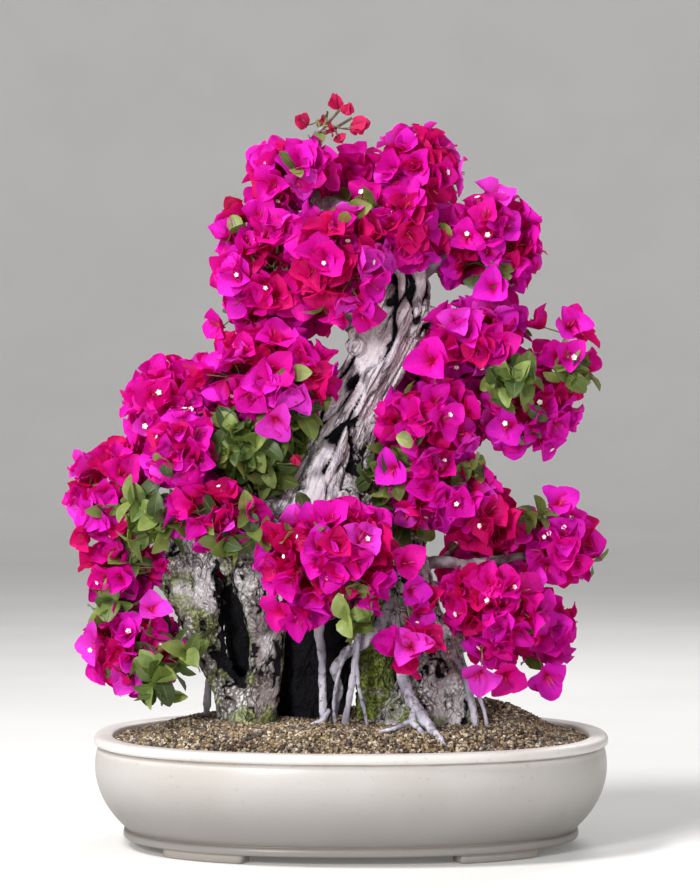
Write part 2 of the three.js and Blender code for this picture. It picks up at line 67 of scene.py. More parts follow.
def dice(cell, salt):
    x, y, z = (cell[..., k].astype(np.int64) for k in range(3))
    mixed = (x * 73856093) ^ (y * 19349663) ^ (z * 83492791) ^ (salt * 40503077)
    mixed = ((mixed ^ (mixed >> 13)) * 1274126177) & 0x7FFFFFFF
    return ((mixed ^ (mixed >> 15)) & 0xFFFF) / 65535.0


def softNoise(points, salt=0):
    # smooth lumps between 0 and 1, one to a unit
    low = np.floor(points)
    part = points - low
    part = part * part * (3 - 2 * part)
    total = np.zeros(points.shape[:-1])
    for corner in np.ndindex(2, 2, 2):
        step = np.array(corner)
        weight = np.prod(np.where(step, part, 1 - part), axis=-1)
        total += weight * dice(low + step, salt)
    return total


def layered(points, salt=0, layers=3):
    total, size, whole = np.zeros(points.shape[:-1]), 1.0, 0.0
    for layer in range(layers):
        total += size * softNoise(points * 2 ** layer, salt + layer)
        whole += size
        size *= 0.5
    return total / whole


def plates(points, salt=0):
    # how far each point lies inside its own cell: 0 on the cracks between cells
    low = np.floor(points)
    near = np.full(points.shape[:-1], 9.0)
    second = near.copy()
    for corner in np.ndindex(3, 3, 3):
        cell = low + np.array(corner) - 1
        seed = cell + np.stack([dice(cell, salt + k) for k in (1, 2, 3)], axis=-1)
        gap = np.linalg.norm(seed - points, axis=-1)
        second = np.minimum(second, np.maximum(near, gap))
        near = np.minimum(near, gap)
    return second - near


def ramp(low, high, value):
    share = np.clip((value - low) / (high - low), 0, 1)
    return share * share * (3 - 2 * share)


def unit(vectors):
    return vectors / np.maximum(np.linalg.norm(vectors, axis=-1, keepdims=True), 1e-9)


def smoothPath(path, count):
    knots = np.array(path, float)
    knots = np.vstack([2 * knots[0] - knots[1], knots, 2 * knots[-1] - knots[-2]])
    place = np.linspace(0, len(path) - 1, count)
    low = np.minimum(place.astype(int), len(path) - 2)
    t = (place - low)[:, None]
    a, b, c, d = (knots[low + k] for k in range(4))
    square, cube = 2 * a - 5 * b + 4 * c - d, 3 * b - a - 3 * c + d
    return 0.5 * (2 * b + (c - a) * t + square * t ** 2 + cube * t ** 3)


def bezier(a, b, c, count):
    t = np.linspace(0, 1, count)[:, None]
    a, b, c = (np.array(corner, float) for corner in (a, b, c))
    return (1 - t) ** 2 * a + 2 * t * (1 - t) * b + t ** 2 * c


def spreadAlong(values, count):
    return np.interp(np.linspace(0, len(values) - 1, count), np.arange(len(values)), values)


def framesAlong(points):
    along = unit(np.gradient(points, axis=0))
    across = np.empty_like(points)
    side = np.array([1.0, 0.0, 0.0])
    for k, direction in enumerate(along):
        side = side - direction * side.dot(direction)
        side /= np.linalg.norm(side)
        across[k] = side
    return along, across, np.cross(along, across)


def gridFaces(rows, columns, closed=False, start=0):
    row = np.arange(rows - 1)[:, None] * columns
    column = np.arange(columns if closed else columns - 1)[None, :]
    after = (column + 1) % columns
    faces = np.stack([row + column, row + after, row + columns + after, row + columns + column], axis=-1)
    return faces.reshape(-1, 4) + start


def tube(points, radii, sides):
    # one closed limb; radii is one for each point, or one for each point and side
    _, across, over = framesAlong(points)
    turn = np.arange(sides) * 2 * np.pi / sides
    reach = np.broadcast_to(np.asarray(radii, float).reshape(len(points), -1), (len(points), sides))
    out = across[:, None] * np.cos(turn)[None, :, None] + over[:, None] * np.sin(turn)[None, :, None]
    rings = (points[:, None] + out * reach[..., None]).reshape(-1, 3)
    first, last = len(rings), len(rings) + 1
    side = np.arange(sides)
    after = (side + 1) % sides
    top = (len(points) - 1) * sides
    caps = np.vstack([
        np.stack([np.full(sides, first), after, side], axis=-1),
        np.stack([np.full(sides, last), top + side, top + after], axis=-1),
    ])
    return np.vstack([rings, points[:1], points[-1:]]), gridFaces(len(points), sides, True), caps


def joinShapes(shapes):
    # many tubes as one set of points with one set of quads and one of triangles
    starts = np.cumsum([0] + [len(points) for points, _, _ in shapes])
    quads = np.vstack([faces + start for (_, faces, _), start in zip(shapes, starts)])
    triangles = np.vstack([caps + start for (_, _, caps), start in zip(shapes, starts)])
    return np.vstack([points for points, _, _ in shapes]), [quads, triangles]


def manyTubes(curves, radii, sides=3):
    # open-ended twigs: curves is twigs x points x 3, radii is twigs x points
    along = unit(np.gradient(curves, axis=1))
    aside = np.where(np.abs(along[..., 2:]) < 0.8, np.array([0, 0, 1.0]), np.array([1.0, 0, 0]))
    across = unit(np.cross(along, aside))
    over = np.cross(along, across)
    turn = np.arange(sides) * 2 * np.pi / sides
    out = across[:, :, None] * np.cos(turn)[:, None] + over[:, :, None] * np.sin(turn)[:, None]
    points = curves[:, :, None] + out * radii[:, :, None, None]
    count, steps = curves.shape[:2]
    one = gridFaces(steps, sides, True)
    faces = (one[None] + (np.arange(count) * steps * sides)[:, None, None]).reshape(-1, 4)
    return points.reshape(-1, 3), faces


def buildPiece(name, points, faceSets, materials, dealt=None, maps=None, wearAndShade=None, smooth=True, slot=None):
    # faceSets are arrays of quads or triangles; dealt gives each face its material
    mesh = bpy.data.meshes.new(name)
    place = np.asarray(points, float) / 1000 + potMiddle
    faceSets = [np.asarray(faces) for faces in faceSets if len(faces)]
    corners = np.concatenate([faces.ravel() for faces in faceSets])
    sizes = np.concatenate([np.full(len(faces), faces.shape[1]) for faces in faceSets])
    mesh.vertices.add(len(place))
    mesh.vertices.foreach_set("co", place.astype(np.float32).ravel())
    mesh.loops.add(len(corners))
    mesh.loops.foreach_set("vertex_index", corners.astype(np.int32))
    mesh.polygons.add(len(sizes))
    mesh.polygons.foreach_set("loop_start", np.concatenate([[0], np.cumsum(sizes)[:-1]]).astype(np.int32))
    mesh.polygons.foreach_set("use_smooth", np.full(len(sizes), smooth))
    for material in materials:
        mesh.materials.append(material)
    if dealt is not None:
        mesh.polygons.foreach_set("material_index", np.asarray(dealt, np.int32))
    if maps is not None:
        layer = mesh.uv_layers.new(name="leafMap")
        layer.uv.foreach_set("vector", np.asarray(maps, np.float32)[corners].ravel())
    # one colour attribute of real marks and painted shade, a share to each channel
    if wearAndShade is not None:
        stainAndShade = mesh.color_attributes.new("wearAndShade", "FLOAT_COLOR", "POINT")
        full = np.concatenate([wearAndShade, np.ones((len(wearAndShade), 1))], axis=1)[:, :4]
        stainAndShade.data.foreach_set("color", full.astype(np.float32).ravel())
    mesh.update(calc_edges=True)
    piece = bpy.data.objects.new(name, mesh)
    bpy.context.scene.collection.objects.link(piece)
    if slot:
        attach(piece, "root")
    print(" ", name, int((sizes - 2).sum()), "triangles")
    return piece


def addNode(material, kind, settings=None, **sockets):
    tree = material.node_tree
    node = tree.nodes.new("ShaderNode" + kind)
    for key, value in (settings or {}).items():
        setattr(node, key, value)
    for key, value in sockets.items():
        numbered = key[0] == "n" and key[1:].isdigit()
        socket = node.inputs[int(key[1:]) if numbered else key.replace("_", " ")]
        if isinstance(value, bpy.types.NodeSocket):
            tree.links.new(value, socket)
        else:
            socket.default_value = value
    return node


def newMaterial(name, roughness, specular=0.4):
    material = bpy.data.materials.new(name)
    material.use_nodes = True
    shader = material.node_tree.nodes["Principled BSDF"]
    shader.inputs["Roughness"].default_value = roughness
    shader.inputs["Specular IOR Level"].default_value = specular
    return material, shader


def link(material, start, end):
    material.node_tree.links.new(start, end)


def colourMix(material, share, first, second, blend="MIX"):
    mix = addNode(material, "Mix", {"data_type": "RGBA", "blend_type": blend})
    for socket, value in zip((mix.inputs[0], mix.inputs[6], mix.inputs[7]), (share, first, second)):
        if isinstance(value, bpy.types.NodeSocket):
            link(material, value, socket)
        else:
            socket.default_value = (*value, 1) if isinstance(value, tuple) else value
    return mix.outputs[2]


def shareOf(material, value, low, high, outLow=0.0, outHigh=1.0):
    bounds = {"From_Min": low, "From_Max": high, "To_Min": outLow, "To_Max": outHigh}
    smooth = {"interpolation_type": "SMOOTHSTEP"}
    return addNode(material, "MapRange", smooth, Value=value, **bounds).outputs[0]


def grain(material, scale, detail=3.0, stretch=None, salt=0.0, lean=0.0):
    place = addNode(material, "TexCoord").outputs["Object"]
    if lean:
        place = addNode(material, "Mapping", None, Vector=place, Rotation=(0, -lean, 0)).outputs[0]
    if stretch or salt:
        place = addNode(material, "Mapping", None, Vector=place, Scale=stretch or (1, 1, 1),
                        Location=(salt, salt, salt)).outputs[0]
    return addNode(material, "TexNoise", None, Vector=place, Scale=scale, Detail=detail).outputs[0]


def seams(material, scale, stretch, lean):
    # 1 along the winding lines between long cells, 0 off them
    place = addNode(material, "TexCoord").outputs["Object"]
    place = addNode(material, "Mapping", None, Vector=place, Rotation=(0, -lean, 0)).outputs[0]
    place = addNode(material, "Mapping", None, Vector=place, Scale=stretch).outputs[0]
    sway = addNode(material, "TexNoise", None, Vector=place, Scale=scale * 0.5, Detail=2.0).outputs[1]
    sway = addNode(material, "VectorMath", {"operation": "SCALE"}, n0=sway, Scale=1.6 / scale).outputs[0]
    place = addNode(material, "VectorMath", {"operation": "ADD"}, n0=place, n1=sway).outputs[0]
    cells = addNode(material, "TexVoronoi", {"feature": "DISTANCE_TO_EDGE"}, Vector=place, Scale=scale)
    return shareOf(material, cells.outputs[0], 0.10, 0.02)


def bump(material, shader, height, distance, strength=1.0):
    made = addNode(material, "Bump", None, Height=height, Distance=distance, Strength=strength)
    link(material, made.outputs[0], shader.inputs["Normal"])


def maths(material, operation, *values):
    sockets = {f"n{k}": value for k, value in enumerate(values)}
    return addNode(material, "Math", {"operation": operation}, **sockets).outputs[0]


def wearAndShadeOf(material):
    # the four shares that a piece's points carry, as buildPiece stores them: real marks such as moss, pale
    # wood and brown stain, and painted shade in creases, fissures and hollows
    stainAndShade = addNode(material, "VertexColor", {"layer_name": "wearAndShade"})
    split = addNode(material, "SeparateColor", None, Color=stainAndShade.outputs[0])
    return *split.outputs[:3], stainAndShade.outputs[1]


def bladePlace(material):
    # how far up its blade a point lies, and how far off the midrib
    place = addNode(material, "UVMap", {"uv_map": "leafMap"}).outputs[0]
    split = addNode(material, "SeparateXYZ", None, Vector=place)
    aside = maths(material, "SUBTRACT", split.outputs[0], 0.5)
    return split.outputs[1], maths(material, "ABSOLUTE", aside)


def letLightThrough(material, shader, colour):
    glow = addNode(material, "BsdfTranslucent")
    glow.inputs["Color"].default_value = (*colour, 1)
    mix = addNode(material, "MixShader", None, Fac=0.22)
    link(material, shader.outputs[0], mix.inputs[1])
    link(material, glow.outputs[0], mix.inputs[2])
    link(material, mix.outputs[0], material.node_tree.nodes["Material Output"].inputs["Surface"])


def grainyMaterial(name, roughness, specular, scale, detail, edges, colours):
    # two colours that run into each other by the grain
    material, shader = newMaterial(name, roughness, specular)
    tone = shareOf(material, grain(material, scale, detail), *edges)
    link(material, colourMix(material, tone, *colours), shader.inputs["Base Color"])
    return material, shader


# The insets are measured in from the oval's outermost outline.
pot = {
    "halfLength": 300, "halfWidth": 225, "roundness": 2.3, "height": 130,
    "baseInset": 36, "wall": 13, "floor": 22, "lipWidth": 21, "footHeight": 10,
    "footStart": 126, "footEnd": 217, "footSteps": 20, "segments": 192,
    "cream": (0.68, 0.655, 0.63), "shade": (0.56, 0.52, 0.48), "speckle": (0.36, 0.31, 0.26),
    # painted shade colours: low for the lower wall, crease for the creases and the underside
    "low": (0.22, 0.208, 0.197), "creaseShade": (0.20, 0.16, 0.12),
}


def ovalPoint(turn, inset, share=1.0):
    squared = lambda value: np.sign(value) * np.abs(value) ** (2 / pot["roundness"])
    x = (pot["halfLength"] - inset) * share * squared(np.cos(turn))
    return x, (pot["halfWidth"] - inset) * share * squared(np.sin(turn))


def ovalRing(inset, height, count, share=1.0):
    x, y = ovalPoint(np.arange(count) * 2 * np.pi / count, inset, share)
    return np.stack([x, y, np.full(count, float(height))], axis=-1)


def potMaterial():
    material, shader = newMaterial("creamStoneware", 0.42, 0.45)
    broad = grain(material, 9, 4)
    fine = grain(material, 160, 2)
    colour = colourMix(material, shareOf(material, broad, 0.42, 0.68, 0, 0.5), pot["cream"], pot["shade"])
    colour = colourMix(material, shareOf(material, fine, 0.64, 0.74, 0, 0.3), colour, pot["speckle"])
    creaseShade, low, *_ = wearAndShadeOf(material)
    # painted shade darkens the wall below the lip and towards the foot
    colour = colourMix(material, low, colour, pot["low"])
    # painted shade in the creases
    colour = colourMix(material, creaseShade, colour, pot["creaseShade"])
    link(material, colour, shader.inputs["Base Color"])
    link(material, shareOf(material, broad, 0.3, 0.7, 0.34, 0.52), shader.inputs["Roughness"])
    bump(material, shader, grain(material, 45, 4), 0.0006, 0.5)
    return material


def makePot():
    base, lip = pot["baseInset"], pot["lipWidth"]
    # inset and height, from the underside up the wall, over the lip and down to the floor inside
    section = np.vstack([
        [[200, pot["footHeight"]], [base + 14, pot["footHeight"]], [base + 3, pot["footHeight"]]],
        bezier([base + 1, 10.2], [base - 3, 10.4], [base - 3, 13.5], 4),
        bezier([base - 3, 16], [base - 2.8, 19.5], [base - 0.5, 20.2], 4),
        [[base + 0.6, 20.8], [base + 0.4, 21.6]],
        bezier([base - 0.5, 22.3], [2, 53], [0, 92], 26),
        bezier([0, 93], [0.2, 108], [3.4, 115.6], 10),
        [[4.6, 116.8], [4.9, 117.6], [4.2, 118.3]],
        bezier([2.0, 118.9], [-1.6, 119.6], [-1.3, 124], 6),
        bezier([-1.3, 125], [-1, 129.7], [4.6, 130.1], 6),
        bezier([8, 130.4], [12, 130.3], [lip - 4, 129.7], 5),
        bezier([lip - 2.4, 129.4], [lip, 129], [lip, 126], 4),
        [[lip, 112], [pot["wall"] + 12, 52], [base + pot["wall"], pot["floor"]], [200, pot["floor"]]],
    ])
    count = pot["segments"]
    rings = np.stack([ovalRing(inset, height, count) for inset, height in section])
    wobble = (layered(rings / 70, 3) - 0.5) * 0.9
    rings[..., 2] += np.where(rings[..., 2] > 15, wobble, 0)
    points = rings.reshape(-1, 3)
    faces = gridFaces(len(section), count, True)
    heights = np.broadcast_to(section[:, 1][:, None], rings.shape[:2]).ravel()
    insets = np.broadcast_to(section[:, 0][:, None], rings.shape[:2]).ravel()
    rough = layered(points / 16, 8)
    outside = insets < base + 2
    # painted shade in the creases: under the lip's roll, in the foot band, on the underside and just inside
    # the rim
    creaseShade = np.exp(-((heights - 117.4) / 1.3) ** 2) + np.exp(-((heights - 20.9) / 1.2) ** 2)
    creaseShade = creaseShade * outside * (0.35 + 0.6 * rough)
    creaseShade += 0.55 * (heights < 11) + 0.3 * ramp(16, 10, heights) * outside
    creaseShade += 0.35 * (insets > lip - 0.5) * (heights > 110) * rough
    blank = np.zeros(len(points))
    # painted shade: the wall darkens below the lip and more towards the foot
    paintedWallShade = (0.42 * ramp(120, 108, heights) + 0.5 * ramp(112, 24, heights)) * outside
    caps = [np.arange(count)[::-1], (len(section) - 1) * count + np.arange(count)]
    sets, paintedShades, total = [faces], [np.stack([np.clip(creaseShade, 0, 1), paintedWallShade, blank], axis=-1)], len(points)
    allPoints = [points]
    for cap in caps:
        middle = points[cap].mean(0)
        fan = np.stack([np.full(count, total), cap, np.roll(cap, -1)], axis=-1)
        allPoints.append(middle[None])
        # painted crease shade at the middle of the underside and of the floor inside
        paintedShades.append(np.array([[0.5, 0, 0]]))
        sets.append(fan)
        total += 1
    # four feet that follow the oval, each a rounded block lofted along the wall
    angleAt = lambda x: math.acos((x / (pot["halfLength"] - base)) ** (pot["roundness"] / 2))
    steps = pot["footSteps"]
    turn = np.linspace(angleAt(pot["footEnd"]), angleAt(pot["footStart"]), steps)
    ends = np.array([4.0, 1.2] + [0.0] * (steps - 4) + [1.2, 4.0])
    outline = [(3, 12), (3, 2.5), (4.2, 0.6), (6, 0), (19, 0), (21, 0.8), (22, 3), (22, 12)]
    for xSide in (-1, 1):
        for ySide in (-1, 1):
            rows = []
            for depth, height in outline:
                x, y = ovalPoint(turn, base + depth)
                under = np.maximum(height, ends * (height < 6) * 0.35)
                rows.append(np.stack([x * xSide, y * ySide, under], axis=-1))
            block = np.stack(rows)
            faces = gridFaces(len(outline), steps, False, total)
            if xSide * ySide < 0:
                faces = faces[:, ::-1]
            ids = total + np.arange(block.shape[0] * steps).reshape(block.shape[0], steps)
            for column in (ids[:, 0], ids[:, -1][::-1]):
                order = column if xSide * ySide > 0 else column[::-1]
                sets.append(np.stack([order[:-1], order[1:], np.full(len(order) - 1, order[0])], axis=-1)[1:])
            allPoints.append(block.reshape(-1, 3))
            # painted shade on the feet: darker towards the ground, with the lower wall's shade all over
            low = ramp(7, 0, block[..., 2].ravel()) * 0.45 + 0.1
            paintedShades.append(np.stack([low, low * 0 + 0.6, low * 0], axis=-1))
            sets.append(faces)
            total += block.shape[0] * steps
    piece = buildPiece("ovalPot", np.vstack(allPoints), sets, [potMaterial()],
                       wearAndShade=np.vstack(paintedShades), slot="pot")
    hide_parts("pot")


makePot()
print("pot thrown")


gravel = {
    "edge": 123, "level": 144, "flat": 0.66, "segments": 144, "seed": 11,
    "bank": (165, 75, 55, 16),  # middle, spread and height of a heap
    "mounds": (2.4, 19, 16),  # height of the swells and how fast they follow each other
    "grains": 15600, "size": (1.35, 2.6),
    "shades": {
        "tan": ((0.30, 0.22, 0.135), 0.30), "ochre": ((0.38, 0.28, 0.155), 0.15),
        "umber": ((0.10, 0.07, 0.05), 0.22), "buff": ((0.60, 0.51, 0.39), 0.17),
        "slate": ((0.12, 0.11, 0.11), 0.20),
    },
}


def groundHeight(x, y):
    power, inner = pot["roundness"], pot["lipWidth"] + 1
    across = np.abs(x / (pot["halfLength"] - inner)) ** power
    share = (across + np.abs(y / (pot["halfWidth"] - inner)) ** power) ** (1 / power)
    bx, by, spread, rise = gravel["bank"]
    bank = rise * np.exp(-((x - bx) ** 2 + (y - by) ** 2) / spread ** 2)
    swell, xStep, yStep = gravel["mounds"]
    climb = ramp(1, gravel["flat"], share)
    bank += swell * np.sin(x / xStep) * np.cos(y / yStep) * climb
    return gravel["edge"] + (gravel["level"] - gravel["edge"]) * climb + bank, share


def gritMaterial(name, colour):
    dark = tuple(channel * 0.55 for channel in colour)
    light = tuple(min(1.0, channel * 1.25) for channel in colour)
    material, shader = grainyMaterial(name, 0.85, 0.3, 420, 2, (0.35, 0.65), (dark, light))
    bump(material, shader, grain(material, 900, 2), 0.0003, 0.6)
    return material


def makeGravel():
    chance = np.random.default_rng(gravel["seed"])
    count = gravel["segments"]
    shares = np.concatenate([np.linspace(0, 0.9, 28), [0.94, 0.97, 1.0]])
    rings = np.stack([ovalRing(pot["lipWidth"] + 0.6, 0, count, max(share, 0.002)) for share in shares])
    rings[..., 2] = groundHeight(rings[..., 0], rings[..., 1])[0] - 2.2
    bed, bedFaces = rings.reshape(-1, 3), gridFaces(len(shares), count, True)
    skirt = ovalRing(pot["lipWidth"] + 2.5, 96, count)
    lastRing = (len(shares) - 1) * count
    around = np.arange(count)
    after = (around + 1) % count
    skirtFaces = np.stack([lastRing + around, lastRing + after, len(bed) + after, len(bed) + around], axis=-1)
    bed = np.vstack([bed, skirt])
    # loose grains, each a crooked block
    total = gravel["grains"]
    turn = chance.uniform(0, 2 * np.pi, total * 2)
    far = np.sqrt(chance.uniform(0, 1, total * 2))
    x, y = ovalPoint(turn, pot["lipWidth"] + 3, far)
    # the bend crowds grains at the oval's ends, so they are thinned there
    crowd = np.abs(np.cos(turn) * np.sin(turn)) ** (2 / pot["roundness"] - 1)
    keep = np.argsort(-np.minimum(crowd, 1.6) * chance.uniform(0.5, 1, total * 2))[:total]
    x, y = x[keep], y[keep]
    small = chance.uniform(*gravel["size"], (total, 3)) * np.array([1.0, 1.0, 0.75])
    height, share = groundHeight(x, y)
    z = height + chance.uniform(-1.6, 0.5, total)
    square = ((-1, -1), (1, -1), (1, 1), (-1, 1))
    signs = np.array([(*corner, end) for end in (-1, 1) for corner in square])
    blocks = signs[None] * small[:, None] * chance.uniform(0.6, 1.15, (total, 8, 3))
    axis = unit(chance.normal(size=(total, 1, 3)))
    angle = chance.uniform(0, np.pi, (total, 1, 1))
    blocks = (blocks * np.cos(angle) + np.cross(axis, blocks) * np.sin(angle)
              + axis * (blocks * axis).sum(-1, keepdims=True) * (1 - np.cos(angle)))
    blocks += np.stack([x, y, z], axis=-1)[:, None]
    sides = np.array([[0, 3, 2, 1], [4, 5, 6, 7], [0, 1, 5, 4], [1, 2, 6, 5], [2, 3, 7, 6], [3, 0, 4, 7]])
    blockFaces = (sides[None] + (np.arange(total) * 8)[:, None, None] + len(bed)).reshape(-1, 4)
    weights = np.array([shade[1] for shade in gravel["shades"].values()])
    dealt = np.repeat(chance.choice(len(weights), total, p=weights / weights.sum()), 6)
    materials = [gritMaterial(name + "Grit", shade[0]) for name, shade in gravel["shades"].items()]
    # the bed and skirt under the grains take the dark umber grit: painted shade in the gaps between grains
    bedGapShade = np.full(len(bedFaces) + len(skirtFaces), 2)
    piece = buildPiece("gravelBed", np.vstack([bed, blocks.reshape(-1, 3)]),
                       [bedFaces, skirtFaces, blockFaces], materials,
                       dealt=np.concatenate([bedGapShade, dealt]), smooth=False, slot="gravel")
    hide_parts("soil")


makeGravel()
print("gravel spread")


# path, radii and kind of bark of each limb; all but the stem end where they join it
trunkLimbs = {
    "stem": {
        "path": [(-42, 5, 325), (-40, 5, 380), (-34, 5, 430), (-17, 5, 482), (15, 5, 540), (44, 3, 592),
                 (58, 0, 635), (60, 0, 672), (46, 4, 706), (8, 8, 734), (-38, 6, 750), (-60, 2, 780),
                 (-54, 2, 814)],
        "radii": [34, 54, 51, 41, 30, 31, 31, 26, 19, 15, 12, 9, 6], "bark": "strips", "ridges": 5,
    },
    "leftLeg": {
        "path": [(-132, -8, 134), (-144, -6, 185), (-167, 0, 235), (-181, 2, 290), (-188, 4, 345),
                 (-150, 6, 392), (-95, 6, 412), (-40, 5, 420)],
        "radii": [25, 18, 22, 33, 28, 24, 28, 32], "bark": "crust", "ridges": 3,
    },
    "innerLeg": {
        "path": [(-116, -14, 134), (-104, -8, 190), (-101, -4, 240), (-112, -2, 290), (-106, 0, 340),
                 (-75, 4, 385), (-40, 5, 410)],
        "radii": [28, 21, 20, 25, 28, 32, 38], "bark": "worn", "ridges": 3,
    },
    "rightLeg": {
        "path": [(88, -22, 134), (94, -16, 180), (94, -8, 225), (74, 0, 270), (62, 5, 325), (52, 8, 375),
                 (10, 5, 430)],
        "radii": [52, 40, 31, 28, 28, 33, 40], "bark": "lichen", "ridges": 4,
    },
    "rightStub": {
        "path": [(98, -12, 195), (114, -8, 238), (120, -6, 266)], "radii": [26, 19, 12], "bark": "lichen",
    },
    "mossLeg": {
        "path": [(32, 12, 134), (28, 8, 190), (32, 6, 240), (54, 4, 292)], "radii": [25, 21, 17, 18],
        "bark": "moss",
    },
    "backLeg": {
        "path": [(-50, 60, 134), (-46, 50, 210), (-38, 34, 290), (-28, 14, 370)], "radii": [44, 38, 38, 42],
        "bark": "crust", "ridges": 3,
    },
    "backLeftLeg": {
        "path": [(-124, 54, 134), (-122, 46, 210), (-122, 32, 290), (-90, 12, 378)],
        "radii": [29, 26, 28, 34], "bark": "crust", "ridges": 3,
    },
    "backRightLeg": {
        "path": [(42, 54, 134), (38, 46, 210), (28, 32, 290), (-4, 14, 370)], "radii": [34, 29, 30, 36],
        "bark": "crust", "ridges": 3,
    },
}
# knots and swellings: middle and radii
trunkKnots = [
    ((-112, -22, 264), (17, 14, 22)), ((77, -8, 614), (19, 20, 23)), ((9, -10, 591), (16, 13, 18)),
    ((1, -20, 601), (9, 9, 9)), ((6, -24, 583), (10, 9, 10)), ((-96, -22, 388), (22, 16, 18)),
    ((-52, -38, 398), (17, 15, 20)), ((-8, -40, 404), (20, 16, 16)), ((-196, -14, 300), (20, 20, 22)),
    ((-170, -20, 266), (18, 17, 20)), ((-120, -18, 315), (16, 14, 22)), ((66, -26, 268), (22, 18, 17)),
    ((112, -34, 190), (20, 18, 24)), ((60, -36, 160), (20, 18, 16)), ((-150, -22, 330), (13, 13, 14)),
    ((48, -30, 318), (13, 11, 16)),
]
# the ridges run lengthwise and wind: how deep they are, how far they twist and how they sway
trunkRidges = {"depth": 0.13, "twist": 3, "sway": 0.9, "swayBeat": 11}
barkRelief = {
    "steps": 60, "sides": 40, "knotSteps": 12, "knotSides": 16,
    "voxel": 2.5, "soften": 3, "stripWidth": 21, "stripLength": 170, "stripDepth": 11,
    "plateSize": 15, "plateDepth": 6, "lumpDepth": 20, "seed": 21,
    "least": -10, "most": 7,  # how far the relief may go in and out
}
# the cleft between the two left legs, carved in and painted in deep shade, which winds and comes to a point
# at its foot
trunkCleft = {
    "height": [185, 213, 245, 281, 302, 335], "middle": [-129, -135, -137, -141, -156, -158],
    "half": [4, 17, 19, 10, 9, 5], "depth": 8,
}


def ridgedReach(spec, count, sides):
    t = np.linspace(0, 1, count)[:, None]
    angle = np.arange(sides)[None] * 2 * np.pi / sides
    ridges = spec.get("ridges", 0)
    wind = ridges * angle + trunkRidges["twist"] * t
    wind = wind + trunkRidges["sway"] * np.sin(trunkRidges["swayBeat"] * t)
    depth = trunkRidges["depth"] if ridges else 0
    return spreadAlong(spec["radii"], count)[:, None] * (1 + depth * np.cos(wind))


def limbReading(points, spec):
    # distance outside a limb, its position along it and its crosswise offsets, at each point
    length = 140
    centre = smoothPath(spec["path"], length)
    radii = spreadAlong(spec["radii"], length)
    along, across, over = framesAlong(centre)
    run = np.concatenate([[0], np.cumsum(np.linalg.norm(np.diff(centre, axis=0), axis=1))])
    nearest = np.empty(len(points), int)
    batch = 20000  # so many points at a time spares memory
    for start in range(0, len(points), batch):
        part = points[start:start + batch]
        nearest[start:start + batch] = ((part[:, None] - centre[None]) ** 2).sum(-1).argmin(1)
    offset = points - centre[nearest]
    aside = (offset * across[nearest]).sum(-1)
    above = (offset * over[nearest]).sum(-1)
    lengthwise = run[nearest] + (offset * along[nearest]).sum(-1)
    outside = np.linalg.norm(offset, axis=1) - radii[nearest]
    return outside, aside, above, lengthwise, radii[nearest]


def swayOf(points, salt, layers):
    return np.stack([layered(points, salt + k, layers) - 0.5 for k in (5, 6, 7)], axis=-1)


def barkOf(kind, aside, above, lengthwise, salt):
    # height of the relief and how near its seams are: 1 on a seam, 0 well off it; this share paints shade in
    # the fissures, and for the flaky kinds in the low ground between lumps
    place = np.stack([aside, above, lengthwise], axis=-1)
    if kind == "strips":
        # long strips that run together in places and part at dark fissures in others
        width, length = barkRelief["stripWidth"], barkRelief["stripLength"]
        warp = swayOf(place / np.array([34, 34, 70]), salt, 2)
        inside = plates(place / np.array([width, width, length]) + warp * np.array([2.0, 2.0, 0.5]), salt)
        parted = ramp(0.34, 0.56, layered(place / np.array([20, 20, 60]), salt + 31, 2))
        strip = 1 - (1 - np.clip(inside / (0.12 + 0.26 * parted), 0, 1)) ** 3
        seamShade = (1 - np.clip(inside / 0.34, 0, 1)) * (0.5 + 0.5 * parted)
        second = plates(place / np.array([8, 8, 80]) + warp * np.array([3.4, 3.4, 0.6]), salt + 17)
        streak = layered(place / np.array([4, 4, 36]) + warp * 2, salt + 9, 2)
        height = barkRelief["stripDepth"] * ((strip - 1) * (0.2 + 0.8 * parted) + 0.2)
        height += 1.8 * (np.clip(second / 0.2, 0, 1) - 0.7) + 1.6 * (streak - 0.5)
        return height, np.maximum(seamShade, (1 - np.clip(second / 0.4, 0, 1)) * 0.55)
    size = {"crust": 1.0, "worn": 1.25, "lichen": 1.1, "moss": 0.8}[kind] * barkRelief["plateSize"]
    depth = {"crust": 1.0, "worn": 0.55, "lichen": 0.7, "moss": 0.5}[kind] * barkRelief["plateDepth"]
    # flakes that hang together in places and part at gaps in others, over broad lumps
    warp = swayOf(place / np.array([18, 18, 30]), salt, 3)
    parted = ramp(0.42, 0.62, layered(place / np.array([15, 15, 24]), salt + 31, 3))
    inside = plates(place / np.array([size, size, size * 2.1]) + warp * 2.6, salt)
    flake = 1 - (1 - np.clip(inside / (0.14 + 0.2 * parted), 0, 1)) ** 2
    second = plates(place / (size * 0.4) + warp * 3.5, salt + 17)
    lumps = layered(place / np.array([25, 25, 32]), salt + 2, 3)
    rough = layered(place / 5, salt + 23, 2)
    height = depth * ((flake - 1) * (0.15 + 0.85 * parted) + 0.3)
    height += depth * 0.25 * (np.clip(second / 0.3, 0, 1) - 0.6)
    height += barkRelief["lumpDepth"] * (lumps - 0.5) + 2.4 * (rough - 0.5)
    seamShade = (1 - np.clip(inside / 0.4, 0, 1)) * (0.55 + 0.45 * parted) * (1.0 if kind != "moss" else 0.7)
    seamShade = np.maximum(seamShade, (1 - np.clip(second / 0.4, 0, 1)) * 0.6)
    # the low ground between the lumps is painted in shade too
    return height, np.maximum(seamShade, ramp(0.42, 0.26, lumps))


